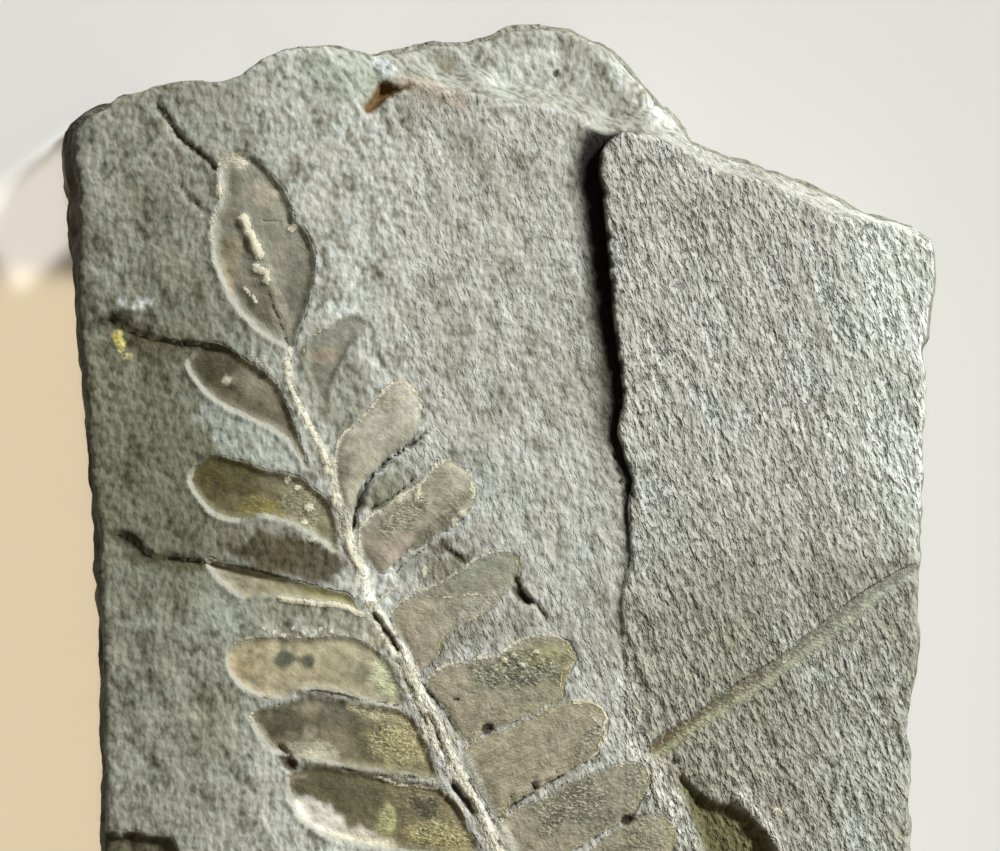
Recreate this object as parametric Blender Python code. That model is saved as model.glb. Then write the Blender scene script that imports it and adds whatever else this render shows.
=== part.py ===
"""Fossil fern plate: one slab of grey-green shale with the compression of a Neuropteris-type frond.

The slab lies on its flat underside with the fossil face up. The row frame has its origin under the
middle of the slab, +Y along the frond towards its tip and +Z up. All sizes below are millimetres.
"""

import math

import bmesh
import bpy
import numpy as np
from mathutils import Vector
from mathutils.geometry import delaunay_2d_cdt

MM = 0.001

# --- driving dimensions ---
FACE_Z = 20.0  # height of the bedding plane that carries the fern
LEDGE_H = 1.4  # how far the right-hand bed stands above it at the top
BED_DROP = 3.8  # the broken bed at the top end lies this far below it
WALL_FLARE = 1.3  # the broken sides lean out by this much at their foot
LEFT_FLARE = 3.3  # the left side leans out further
FOOT_Z = 1.7  # height of the side's foot, above the chipped lower edge
FOOT_INSET = 3.0  # the chipped lower edge runs in by this much to the flat underside
RIM_W = 0.7  # width of the worn top edge
RIM_DROP = 0.3
RACHIS_H = 0.45
STEM_DEPTH = 0.22
HOLLOW_DEPTH = 1.8
CHIP_DEPTH = 1.1

GRID = 2.45  # spacing of the points on the face
RIM_STEP = 2.6  # most room between points along the outline
RIM_CHIP = 0.14  # unevenness of the broken edge
# Broken beds down the sides: share of the side's height, and how far it stands out of the slope.
BEDS = (
    (0.07, 0.1), (0.22, -0.1), (0.26, 0.45), (0.45, 0.2), (0.49, -0.35), (0.7, -0.15), (0.74, 0.5),
    (1.0, 0.0),
)

# --- outline of the face, clockwise seen from above ---
LEFT = (
    (-38.4, -43.1), (-38.0, -38.1), (-38.4, -32.6), (-38.6, -27.1), (-38.4, -20.0), (-38.5, -12.7),
    (-38.8, -3.8), (-39.1, 0.7), (-38.9, 3.8), (-39.6, 11.2), (-40.1, 18.1), (-40.9, 27.6),
    (-41.0, 35.5), (-41.1, 39.5), (-41.6, 42.0), (-41.5, 44.9),
)
TOP_LEFT = (
    (-40.1, 46.5), (-38.5, 47.2), (-36.9, 48.4), (-33.5, 49.2), (-30.0, 49.9), (-26.9, 49.9),
    (-24.9, 50.4), (-22.7, 51.9), (-20.4, 52.9), (-16.4, 53.4), (-11.4, 52.6),
)
BED = (
    (-9.0, 53.0), (-5.5, 53.9), (-2.1, 53.9), (2.2, 55.3), (5.1, 55.5), (8.2, 55.4), (9.5, 54.8),
    (12.0, 53.5), (16.9, 48.4), (18.2, 47.1), (20.2, 43.9),
)
TOP_RIGHT = ((23.4, 42.6), (27.6, 41.2), (31.4, 39.8), (35.5, 37.9), (38.8, 36.0), (42.5, 35.1))
RIGHT = (
    (44.1, 33.8), (44.4, 30.2), (43.9, 26.1), (43.2, 22.9), (43.8, 19.6), (43.4, 15.0), (43.2, 6.3),
    (42.9, -3.2), (42.5, -9.5), (41.9, -16.2), (42.2, -19.1), (41.9, -27.1), (42.0, -33.6),
    (42.4, -40.1),
)
LOWER = (
    (41.6, -46.8), (39.4, -49.2), (33.6, -50.4), (26.4, -52.3), (21.7, -52.0), (13.4, -53.6),
    (9.0, -53.1), (-1.4, -55.0), (-8.6, -54.4), (-12.9, -52.7), (-22.3, -52.9), (-29.8, -51.2),
    (-34.6, -51.6), (-37.6, -48.9),
)

# --- edges and beds of the face ---
BROW = (
    (-17.1, 54.6), (-14.7, 50.8), (-12.5, 46.8), (-10.0, 48.4), (-7.5, 49.5), (-1.2, 48.4),
    (5.2, 47.4), (8.9, 46.2), (11.2, 44.6), (14.6, 44.5), (19.0, 43.0), (23.4, 40.5), (27.6, 39.5),
    (34.6, 36.2), (39.4, 35.4), (45.4, 33.6),
)
LEDGE = (
    (14.6, 44.4), (12.8, 44.3), (11.2, 41.9), (11.7, 36.8), (12.5, 28.1), (13.3, 20.1),
    (13.6, 18.2), (13.1, 14.7), (14.5, 9.9), (14.2, 4.0), (13.5, -1.7), (13.7, -8.0),
)
STEPS = (
    ((-41.0, 25.8), (-37.6, 26.4), (-35.5, 25.0), (-31.4, 24.0), (-26.6, 23.4), (-23.4, 21.8)),
    ((-39.0, 4.5), (-36.8, 4.8), (-33.6, 2.6), (-28.5, 2.0), (-25.0, 1.2)),
)
STEP_H = 0.55
GROOVES = (
    ((-33.6, 47.9), (-30.7, 44.0), (-27.2, 41.0)),
    ((-34.6, 43.6), (-32.4, 40.0)),
    ((-31.1, 39.5), (-28.2, 36.5)),
    ((30.4, 32.0), (35.5, 13.8), (37.4, 1.7)),
)
GROOVE_W = 0.55
GROOVE_DEPTH = 0.4
STEM_TOP = ((16.4, -16.4), (20.2, -13.7), (29.0, -7.8), (35.5, -2.7), (42.2, 1.3))
STEM_LOW = ((17.1, -18.1), (24.5, -13.0), (33.5, -6.8), (36.6, -4.3), (42.4, 0.0))
HOLLOW = (
    (17.8, -18.5), (19.2, -21.6), (21.5, -27.6), (23.3, -32.6), (26.3, -36.9), (30.1, -38.1),
    (32.4, -35.1), (31.1, -30.5), (27.1, -24.2), (24.8, -22.4), (21.6, -21.8),
)
CHIP = ((-12.5, 46.8), (-10.3, 49.8), (-7.5, 49.5), (-10.0, 48.4), (-11.9, 46.8))

# --- the frond ---
RACHIS = (
    (-19.9, 22.9), (-19.9, 19.4), (-17.0, 13.4), (-15.7, 9.8), (-13.7, 3.5), (-12.0, -2.0),
    (-8.4, -8.2), (-4.3, -17.1), (-0.4, -24.1), (4.2, -33.6), (10.2, -45.6), (12.4, -51.4),
)
# Each leaflet is an outline and the level of its film against the bedding plane.
LEAFLETS = {
    "terminal": (((-19.7, 23.2), (-24.1, 25.8), (-27.6, 32.8), (-26.7, 38.8), (-26.1, 42.6),
                  (-23.4, 42.2), (-20.5, 39.4), (-17.2, 31.8), (-18.9, 25.0)), -0.5),
    "left_1": (((-30.2, 21.8), (-27.6, 18.1), (-19.8, 13.4), (-18.0, 10.9), (-19.9, 17.1),
                (-24.1, 21.9), (-28.1, 23.9)), -0.55),
    "left_2": (((-28.6, 11.9), (-30.0, 10.2), (-26.5, 6.3), (-18.2, 4.7), (-15.3, 3.0),
                (-16.2, 8.2), (-25.5, 11.9)), -0.5),
    "left_3": (((-27.8, 2.3), (-27.2, 0.1), (-24.2, -2.0), (-14.3, -2.8), (-12.4, -3.6),
                (-14.0, -1.2), (-21.7, 0.5)), -0.4),
    "left_4": (((-25.2, -6.3), (-26.2, -8.0), (-23.4, -11.5), (-15.0, -11.7), (-8.4, -12.6),
                (-9.8, -8.5), (-11.8, -6.5), (-18.9, -5.7)), -0.3),
    "left_5": (((-22.7, -12.9), (-23.6, -13.8), (-21.7, -17.2), (-13.4, -19.0), (-5.0, -19.6),
                (-8.3, -13.3), (-12.2, -12.4), (-18.9, -12.8)), -0.45),
    "left_6": (((-19.1, -19.2), (-20.2, -20.0), (-19.1, -23.6), (-15.5, -25.8), (-7.0, -27.1),
                (-1.3, -27.0), (-2.9, -22.5), (-4.8, -20.6), (-10.7, -19.9)), -0.45),
    "left_7": (((-15.1, -27.4), (-16.0, -28.9), (-14.2, -32.4), (-8.3, -34.0), (1.9, -34.6),
                (0.2, -29.4), (-5.2, -28.0)), -0.35),
    "left_8": (((-11.9, -35.2), (-12.6, -37.0), (-10.3, -40.2), (-3.3, -41.6), (5.6, -41.3),
                (3.2, -35.9), (-3.5, -35.4)), -0.35),
    "right_0": (((-16.7, 16.0), (-16.6, 19.4), (-13.8, 24.4), (-10.0, 23.4), (-14.8, 17.6)), -0.2),
    "right_1": (((-14.7, 8.0), (-15.3, 12.4), (-11.8, 17.1), (-8.8, 19.8), (-7.0, 18.5),
                 (-8.4, 13.2), (-13.2, 8.0)), 0.3),
    "right_2": (((-12.8, 3.8), (-10.4, 7.1), (-5.8, 10.9), (-3.9, 11.9), (-1.4, 9.2),
                 (-4.0, 4.8), (-11.7, 1.3)), 0.25),
    "right_3": (((-9.4, -2.7), (-3.3, 0.6), (-0.2, 2.6), (2.9, 2.4), (1.3, -1.7), (-5.4, -7.4),
                 (-6.8, -8.5), (-8.8, -4.7)), -0.25),
    "right_4": (((-5.9, -9.7), (-0.9, -7.8), (5.2, -5.5), (8.5, -7.2), (7.4, -11.7),
                 (-0.1, -15.0), (-2.6, -16.0), (-4.2, -13.5)), -0.25),
    "right_5": (((-2.2, -17.0), (6.1, -12.8), (9.2, -12.2), (11.7, -14.0), (8.8, -18.6),
                 (3.9, -21.5), (0.4, -23.8)), -0.25),
    "right_6": (((1.1, -24.2), (7.4, -20.6), (14.6, -18.5), (16.0, -20.6), (14.2, -23.8),
                 (10.7, -25.9), (4.2, -30.1)), -0.25),
    "right_7": (((4.6, -31.2), (10.2, -27.4), (16.4, -23.6), (18.7, -24.9), (17.9, -28.6),
                 (13.6, -32.2), (7.4, -36.2)), -0.25),
    "right_8": (((7.9, -38.2), (13.4, -34.4), (19.9, -31.0), (22.0, -32.4), (21.0, -36.3),
                 (16.4, -40.2), (10.4, -43.0)), -0.25),
}


# --- plane geometry ---
def smooth(points, closed, step):
    """Points spaced by step along the curve through the given points."""
    p = np.array(points, float)
    n = len(p)
    spans = n if closed else n - 1
    found = []
    for i in range(spans):
        if closed:
            a, b, c, d = p[i - 1], p[i], p[(i + 1) % n], p[(i + 2) % n]
        else:
            a, b, c, d = p[max(i - 1, 0)], p[i], p[i + 1], p[min(i + 2, n - 1)]
        for t in np.linspace(0, 1, 12, endpoint=False):
            found.append(0.5 * (2 * b + (c - a) * t + (2 * a - 5 * b + 4 * c - d) * t * t
                                + (3 * b - a - 3 * c + d) * t ** 3))
    found.append(p[0] if closed else p[-1])
    return spaced(np.array(found), closed, step)


def divided(points, step, chip):
    """The closed line with its corners kept, no side longer than step and chipped in between."""
    p = np.array(points, float)
    found = []
    for a, b in zip(p, np.roll(p, -1, axis=0)):
        length = np.hypot(*(b - a))
        count = max(1, int(np.ceil(length / step)))
        out = np.array([-(b - a)[1], (b - a)[0]]) / length
        found.append(a)
        for k in range(1, count):
            bite = chip * (0.3 + math.sin(len(found) * 2.4) + 0.5 * math.sin(len(found) * 5.1))
            found.append(a + (b - a) * k / count + out * bite)
    return np.array(found)


def spaced(p, closed, step):
    """The same line with evenly spaced points; a closed one doesn't repeat its first point."""
    if closed and np.hypot(*(p[0] - p[-1])) > 1e-6:
        p = np.vstack([p, p[:1]])
    run = np.concatenate([[0], np.cumsum(np.hypot(*np.diff(p, axis=0).T))])
    count = max(3, int(round(run[-1] / step)))
    at = np.linspace(0, run[-1], count + 1)
    out = np.column_stack([np.interp(at, run, p[:, 0]), np.interp(at, run, p[:, 1])])
    return out[:-1] if closed else out


def to_line(x, y, line, closed=False):
    """(distance, share along) of points to a line."""
    p = np.array(line, float)
    if closed:
        p = np.vstack([p, p[:1]])
    a, d = p[:-1], np.diff(p, axis=0)
    length = np.hypot(d[:, 0], d[:, 1])
    starts = np.concatenate([[0], np.cumsum(length)])
    px, py = x[:, None] - a[:, 0], y[:, None] - a[:, 1]
    t = (px * d[:, 0] + py * d[:, 1]) / np.maximum(length ** 2, 1e-12)
    t = np.clip(t, 0, 1)
    qx, qy = px - t * d[:, 0], py - t * d[:, 1]
    dist = np.hypot(qx, qy)
    near = dist.argmin(axis=1)
    rows = np.arange(len(x))
    return dist[rows, near], (starts[near] + t[rows, near] * length[near]) / starts[-1]


def inside(x, y, loop):
    """Whether each point lies inside the closed line."""
    p = np.array(loop, float)
    q = np.roll(p, -1, axis=0)
    hit = np.zeros(len(x), bool)
    for (ax, ay), (bx, by) in zip(p, q):
        if ay == by:
            continue
        across = (ay > y) != (by > y)
        hit ^= across & (x < (bx - ax) * (y - ay) / (by - ay) + ax)
    return hit


def depth_in(x, y, loop):
    """Distance to a closed line, positive inside it."""
    dist, _ = to_line(x, y, loop, closed=True)
    return np.where(inside(x, y, loop), dist, -dist)


def beyond(x, y, line, corners):
    """Distance to an open line, positive on the side that the corners close off."""
    dist, _ = to_line(x, y, line)
    return np.where(inside(x, y, tuple(line) + corners), dist, -dist)


def ease(t):
    t = np.clip(t, 0, 1)
    return t * t * (3 - 2 * t)


def rough(x, y, size, seed):
    """Smooth noise between -1 and 1 that repeats nowhere on the slab."""
    gx, gy = x / size + seed * 7.31, y / size - seed * 3.17
    ix, iy = np.floor(gx), np.floor(gy)

    def corner(cx, cy):
        s = np.sin(cx * 127.1 + cy * 311.7 + seed * 74.7) * 43758.5453
        return 2 * (s - np.floor(s)) - 1

    u, v = ease(gx - ix), ease(gy - iy)
    low = corner(ix, iy) * (1 - u) + corner(ix + 1, iy) * u
    high = corner(ix, iy + 1) * (1 - u) + corner(ix + 1, iy + 1) * u
    return low * (1 - v) + high * v


# --- the face ---
OUTLINE = divided(LEFT + TOP_LEFT + BED + TOP_RIGHT + RIGHT + LOWER, RIM_STEP, RIM_CHIP)
STEM = STEM_TOP + STEM_LOW[::-1]
NORTH = ((60, 80), (-60, 80))  # close off the broken top end
EAST = ((13.7, -70), (60, -70), (60, 44.4))  # close off the right-hand bed


def ledge_height(y):
    return np.interp(y, (-14, -6, 2, 10, 20, 32), (0, 0.12, 0.28, 0.5, 0.9, LEDGE_H))


def beds(x, y):
    """Height of the beds: bedding plane, right-hand bed, steps and the broken top end."""
    z = FACE_Z + 0.14 * np.sin(0.11 * x + 0.8) * np.cos(0.09 * y) + 0.07 * rough(x, y, 5.0, 1)
    past = np.maximum(beyond(x, y, BROW, NORTH), 0)
    right = beyond(x, y, LEDGE, EAST)
    z = z + ledge_height(y) * ease(right / 0.35 + 1) * (1 - ease(past / 1.2))
    for line in STEPS:
        low = beyond(x, y, line, (line[-1], (line[-1][0], -90), (line[0][0], -90)))
        _, share = to_line(x, y, line)
        fade = ease(share * 6 + 0.3) * ease((1 - share) * 3)
        z = z - STEP_H * fade * ease(low / 0.4) * np.exp(-np.maximum(low, 0) / 2.5)
    slope = np.interp(x, (-20, -10, -6, 14, 20, 44), (0.42, 0.5, 1.3, 1.7, 1.05, 0.95))
    most = np.interp(x, (-20, -9, -6, 16, 19, 44), (9, 6, BED_DROP, BED_DROP, 8, 8))
    fall = np.minimum(past * slope, most) + 0.1 * np.maximum(past - most / slope, 0)
    return z - fall


def frond(x, y):
    """Relief of the leaflets and the rachis against the bedding plane."""
    z = np.zeros(len(x))
    for outline, level in LEAFLETS.values():
        s = depth_in(x, y, smooth(outline, True, 1.2))
        film = level * ease(s / 0.5) + 0.16 * ease(s / 2.4)
        z = np.where(s > 0, film, z)
    off, share = to_line(x, y, RACHIS)
    width = np.interp(share, (0, 0.3, 0.7, 1), (0.35, 0.55, 0.9, 1.05))
    lift = RACHIS_H * np.interp(share, (0, 0.2, 1), (0.3, 0.7, 1.2))
    return z + (lift - z * 0.8) * np.exp(-((off / width) ** 2))


def damage(x, y):
    """Depth of the hollow, chip, grooves and stem impression."""
    z = np.zeros(len(x))
    s = depth_in(x, y, HOLLOW)
    z = z - np.minimum(HOLLOW_DEPTH, np.maximum(s, 0) * 1.5)
    s = depth_in(x, y, CHIP)
    z = z - CHIP_DEPTH * ease(s / 0.5)
    s = depth_in(x, y, STEM)
    z = z - STEM_DEPTH * ease(s / 0.5)
    for line in GROOVES:
        off, share = to_line(x, y, line)
        z = z - GROOVE_DEPTH * ease(1 - off / GROOVE_W) * ease(share * 6) * ease((1 - share) * 4)
    return z


def face_z(x, y):
    """Height of the fossil face."""
    off, _ = to_line(x, y, OUTLINE, closed=True)
    worn = RIM_DROP * ease(1 - off / RIM_W)
    return beds(x, y) + frond(x, y) + damage(x, y) - worn


def beside(line, gap):
    """The open line moved sideways by gap, positive to its left."""
    p = np.array(line, float)
    d = np.gradient(p, axis=0)
    d /= np.hypot(d[:, 0], d[:, 1])[:, None]
    return p + gap * np.column_stack([-d[:, 1], d[:, 0]])


def within(loop, gap):
    """The closed line moved inwards by gap."""
    d = np.roll(loop, -1, axis=0) - np.roll(loop, 1, axis=0)
    d /= np.hypot(d[:, 0], d[:, 1])[:, None]
    area = np.sum(loop[:, 0] * np.roll(loop[:, 1], -1) - loop[:, 1] * np.roll(loop[:, 0], -1))
    turn = 1 if area > 0 else -1
    return loop + gap * turn * np.column_stack([-d[:, 1], d[:, 0]])


def feature_lines():
    """Lines that the triangles of the face follow, as (points, closed)."""
    found = []
    for line, gaps, step in ((LEDGE, (-0.35, 0.0), 1.8), (BROW, (0.0,), 2.4)):
        for gap in gaps:
            found.append((beside(smooth(line, False, step), gap), False))
    found.append((beside(smooth(BROW[4:11], False, 2.4), 2.3), False))
    for line in STEPS:
        found += [(beside(smooth(line, False, 2.4), gap), False) for gap in (0.0, -0.4)]
    for line in GROOVES:
        found += [(beside(smooth(line, False, 2.0), gap), False)
                  for gap in (-GROOVE_W, 0.0, GROOVE_W)]
    found += [(smooth(line, False, 3.0), False) for line in (STEM_TOP, STEM_LOW)]
    found += [(beside(smooth(STEM_TOP, False, 3.0), -0.5), False)]
    found += [(beside(smooth(STEM_LOW, False, 3.0), 0.5), False)]
    found += [(smooth(RACHIS, False, 2.4), False)]
    for loop, step, gap in ((HOLLOW, 2.2, 1.2), (CHIP, 1.0, 0.4)):
        line = smooth(loop, True, step)
        found += [(line, True), (within(line, gap), True)]
    for outline, _ in LEAFLETS.values():
        line = smooth(outline, True, 2.0)
        found += [(line, True), (within(line, 0.5), True)]
    return found


def kept_runs(line, closed, room):
    """Index pairs of neighbouring points that lie well inside the outline."""
    ok = depth_in(line[:, 0], line[:, 1], OUTLINE) > room
    pairs = [(i, i + 1) for i in range(len(line) - 1)] + ([(len(line) - 1, 0)] if closed else [])
    return [(i, j) for i, j in pairs if ok[i] and ok[j]]


def grid_points(spacing, loop, room):
    """Staggered points that keep clear of the loop."""
    points = []
    low, high = loop.min(axis=0), loop.max(axis=0)
    rows = int((high[1] - low[1]) / (spacing * 0.866)) + 2
    for j in range(rows):
        y = low[1] + j * spacing * 0.866
        xs = np.arange(low[0] + (0.5 * spacing if j % 2 else 0), high[0], spacing)
        points.append(np.column_stack([xs, np.full(len(xs), y)]))
    p = np.vstack(points)
    p = p + 0.22 * spacing * np.column_stack([rough(p[:, 0], p[:, 1], 1.3, 5),
                                              rough(p[:, 0], p[:, 1], 1.3, 9)])
    return p[depth_in(p[:, 0], p[:, 1], loop) > room]


def triangulate(loop, lines, spare, shift):
    """(points, triangles) inside the loop, following the lines; the loop's points come first."""
    points = [loop]
    edges = [(i, (i + 1) % len(loop)) for i in range(len(loop))]
    total = len(loop)
    for line, closed in lines:
        pairs = kept_runs(line, closed, shift)
        used = sorted({i for pair in pairs for i in pair})
        where = {i: total + k for k, i in enumerate(used)}
        edges += [(where[i], where[j]) for i, j in pairs]
        points.append(line[used])
        total += len(used)
    fixed = np.vstack(points)
    clear = np.ones(len(spare), bool)
    for k, p in enumerate(spare):
        clear[k] = np.hypot(*(fixed - p).T).min() > 0.42 * GRID
    everything = [Vector(p) for p in np.vstack([fixed, spare[clear]])]
    verts, _, faces, sources, _, _ = delaunay_2d_cdt(everything, edges, [], 0, 1e-5)
    flat = np.array([tuple(v) for v in verts])
    tris = np.array(faces, int)
    middle = flat[tris].mean(axis=1)
    tris = tris[inside(middle[:, 0], middle[:, 1], loop)]
    order = np.full(len(flat), -1)
    for new, olds in enumerate(sources):
        for old in olds:
            if old < len(loop):
                order[new] = old
    rest = np.flatnonzero(order < 0)
    used = np.unique(tris)
    rest = rest[np.isin(rest, used)]
    order[rest] = len(loop) + np.arange(len(rest))
    placed = np.zeros((len(loop) + len(rest), 2))
    for new in np.flatnonzero(order >= 0):
        placed[order[new]] = flat[new]
    tris = order[tris]
    a, b, c = placed[tris[:, 0]], placed[tris[:, 1]], placed[tris[:, 2]]
    turn = (b[:, 0] - a[:, 0]) * (c[:, 1] - a[:, 1]) - (b[:, 1] - a[:, 1]) * (c[:, 0] - a[:, 0])
    tris[turn < 0] = tris[turn < 0][:, ::-1]
    return placed, tris


# --- the slab ---
def rings():
    """Rings of points down the broken sides and in to the flat underside, without the top one."""
    n = len(OUTLINE)
    out = OUTLINE - within(OUTLINE, 1.0)
    top = face_z(OUTLINE[:, 0], OUTLINE[:, 1])
    west = ease((-20 - OUTLINE[:, 0]) / 12) * ease((49 - OUTLINE[:, 1]) / 4)
    flare = WALL_FLARE + (LEFT_FLARE - WALL_FLARE) * west
    run = np.arange(n) * RIM_STEP
    foot = FOOT_Z + 0.7 * rough(run, 0 * run, 9.0, 21)
    wander = 0.25 * rough(run, 0 * run, 11.0, 31)
    found = []
    for level, jog in BEDS:
        z = top + (foot - top) * level + wander * (level < 1)
        push = flare * level + jog * (1 + 0.8 * rough(run, 0 * run, 6.0, 7 + int(level * 4)))
        push = push + 0.25 * rough(run, 0 * run, 4.0, 3 + 10 * level)
        found.append(np.column_stack([OUTLINE + out * push[:, None], z]))
    inset = FOOT_INSET + 0.9 * rough(run, 0 * run, 8.0, 50)
    flat = found[-1][:, :2] - out * inset[:, None]
    found.append(np.column_stack([flat, np.zeros(n)]))
    return found


def slab():
    """The slab's closed mesh, as (points, triangles) in millimetres."""
    n = len(OUTLINE)
    spare = grid_points(GRID, OUTLINE, 0.75 * GRID)
    face, tris = triangulate(OUTLINE, feature_lines(), spare, 0.8)
    points = [np.column_stack([face, face_z(face[:, 0], face[:, 1])])]
    triangles = [tris]
    upper = np.arange(n)
    total = len(face)
    for ring in rings():
        lower = total + np.arange(n)
        points.append(ring)
        for i in range(n):
            j = (i + 1) % n
            # The outline runs clockwise, so the sides face outwards in this order.
            triangles.append(np.array([(upper[i], upper[j], lower[i]),
                                       (upper[j], lower[j], lower[i])]))
        upper = lower
        total += n
    base = points[-1][:, :2]
    spare = grid_points(9.0, base, 5.0)
    flat, tris = triangulate(base, [], spare, 1.0)
    extra = np.column_stack([flat[n:], np.zeros(len(flat) - n)])
    points.append(extra)
    index = np.concatenate([upper, total + np.arange(len(extra))])
    triangles.append(index[tris][:, ::-1])
    return np.vstack(points), np.vstack(triangles)


def shale():
    """Grey-green shale, matt."""
    material = bpy.data.materials.new("grey_shale")
    material.use_nodes = True
    shader = material.node_tree.nodes["Principled BSDF"]
    shader.inputs["Base Color"].default_value = (0.30, 0.30, 0.26, 1)
    shader.inputs["Roughness"].default_value = 0.85
    return material


def build():
    points, triangles = slab()
    mesh = bpy.data.meshes.new("fossil_plate")
    mesh.from_pydata([tuple(p) for p in points * MM], [], [tuple(int(i) for i in t) for t in triangles])
    bm = bmesh.new()
    bm.from_mesh(mesh)
    bmesh.ops.recalc_face_normals(bm, faces=bm.faces)
    bm.to_mesh(mesh)
    bm.free()
    mesh.materials.append(shale())
    mesh.set_sharp_from_angle(angle=math.radians(28))
    for polygon in mesh.polygons:
        polygon.use_smooth = True
    plate = bpy.data.objects.new("fossil_plate", mesh)
    bpy.context.scene.collection.objects.link(plate)


for old in list(bpy.data.objects):
    bpy.data.objects.remove(old, do_unlink=True)
build()
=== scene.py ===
"""Looks of the fossil fern plate: one fine stone mesh, with its leaf films, mineral crusts and stains.

Sizes in this file are millimetres in the row frame, and are turned into metres when a mesh is made.
"""

import logging
import math
from dataclasses import dataclass, field
from enum import Enum

import bpy
import numpy as np
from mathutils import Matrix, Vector
from mathutils.geometry import delaunay_2d_cdt
from mathutils.kdtree import KDTree


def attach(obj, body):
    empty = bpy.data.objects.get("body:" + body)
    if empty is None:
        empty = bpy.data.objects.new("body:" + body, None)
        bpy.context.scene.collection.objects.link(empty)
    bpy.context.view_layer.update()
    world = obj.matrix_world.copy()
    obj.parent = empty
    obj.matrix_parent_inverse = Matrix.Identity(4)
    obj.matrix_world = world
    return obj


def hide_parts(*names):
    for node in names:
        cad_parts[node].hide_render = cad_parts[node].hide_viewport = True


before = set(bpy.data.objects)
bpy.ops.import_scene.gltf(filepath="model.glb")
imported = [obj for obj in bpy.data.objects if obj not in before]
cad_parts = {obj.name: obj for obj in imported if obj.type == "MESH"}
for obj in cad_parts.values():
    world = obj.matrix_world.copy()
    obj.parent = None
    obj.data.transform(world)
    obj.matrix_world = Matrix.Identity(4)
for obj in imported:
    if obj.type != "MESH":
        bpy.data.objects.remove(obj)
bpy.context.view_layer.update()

MM = 0.001
LOG = logging.getLogger("fossil_plate")

Pair = tuple[float, float]
Pairs = tuple[Pair, ...]
Colour = tuple[float, float, float]  # scene-linear
Shown = tuple[int, int, int]  # as a screen shows it, from 0 to 255

BARE = -1.5  # film depth where there is no leaf
ROW_PITCH = 0.866  # height of an equilateral triangle over its side
CLEARANCE = 0.6  # how far loose points keep from fixed ones, over the grid's size
SAME_PLACE = 1e-5  # points nearer to each other than this are one


def linear(red: int, green: int, blue: int) -> Colour:
    """Scene-linear values of a colour given as 0 to 255 display values."""

    def one(value: int) -> float:
        """One channel, by the sRGB curve."""
        share = value / 255
        return share / 12.92 if share <= 0.04045 else ((share + 0.055) / 1.055) ** 2.4

    return one(red), one(green), one(blue)


SHALE = linear(186, 187, 179)
STONE_FILM = linear(138, 136, 120)


def fade(near: Shown, far: Shown, share: np.ndarray) -> np.ndarray:
    """Colours on the way from near to far, one for each share."""
    share = share[:, None]
    return np.array(linear(*near)) * (1 - share) + np.array(linear(*far)) * share


# --- lines on the face ---
def ease(share: np.ndarray) -> np.ndarray:
    """A smooth step from 0 to 1."""
    t = np.clip(share, 0, 1)
    return t * t * (3 - 2 * t)


def turned(xy: np.ndarray, angle: float) -> tuple[np.ndarray, np.ndarray]:
    """How far points lie along a direction, given in degrees from +X, and across it."""
    turn = math.radians(angle)
    along = xy[:, 0] * math.cos(turn) + xy[:, 1] * math.sin(turn)
    return along, xy[:, 1] * math.cos(turn) - xy[:, 0] * math.sin(turn)


def noise(xy: np.ndarray, size: Pair, angle: float, seed: int) -> np.ndarray:
    """Smooth noise from -1 to 1.

    Args:
        xy: Points in millimetres, one row each.
        size: Grain size across and along the streaks.
        angle: Direction of the streaks in degrees from +X.
        seed: Which noise.

    Returns:
        One value for each point.
    """
    along, across = turned(xy, angle)
    along, across = along / size[1] + 31.7 * seed, across / size[0] - 17.3 * seed
    i, j = np.floor(along), np.floor(across)

    def corner(a: np.ndarray, b: np.ndarray) -> np.ndarray:
        """The lattice value at a corner."""
        s = np.sin(a * 127.1 + b * 311.7 + seed * 74.7) * 43758.5453
        return 2 * (s - np.floor(s)) - 1

    u, v = ease(along - i), ease(across - j)
    low = corner(i, j) * (1 - u) + corner(i + 1, j) * u
    high = corner(i, j + 1) * (1 - u) + corner(i + 1, j + 1) * u
    return low * (1 - v) + high * v


def reach(xy: np.ndarray, at: Pair, radii: Pair, angle: float) -> np.ndarray:
    """How far points lie from an ellipse's middle, where its edge is at 1."""
    along, across = turned(xy - np.array(at), angle)
    return np.hypot(along / radii[0], across / radii[1])


def inside(xy: np.ndarray, loop: np.ndarray) -> np.ndarray:
    """Whether each point lies inside the closed line."""
    hit = np.zeros(len(xy), bool)
    x, y = xy[:, 0], xy[:, 1]
    for (ax, ay), (bx, by) in zip(loop, np.roll(loop, -1, axis=0)):
        if ay != by:
            across = (ay > y) != (by > y)
            hit ^= across & (x < (bx - ax) * (y - ay) / (by - ay) + ax)
    return hit


@dataclass(frozen=True)
class Near:
    """Where points lie against a line.

    Attributes:
        dist: Distance to the line.
        share: How far along the line the nearest place is, from 0 to 1.
        away: Unit vector from the nearest place to the point.
    """

    dist: np.ndarray
    share: np.ndarray
    away: np.ndarray


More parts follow.
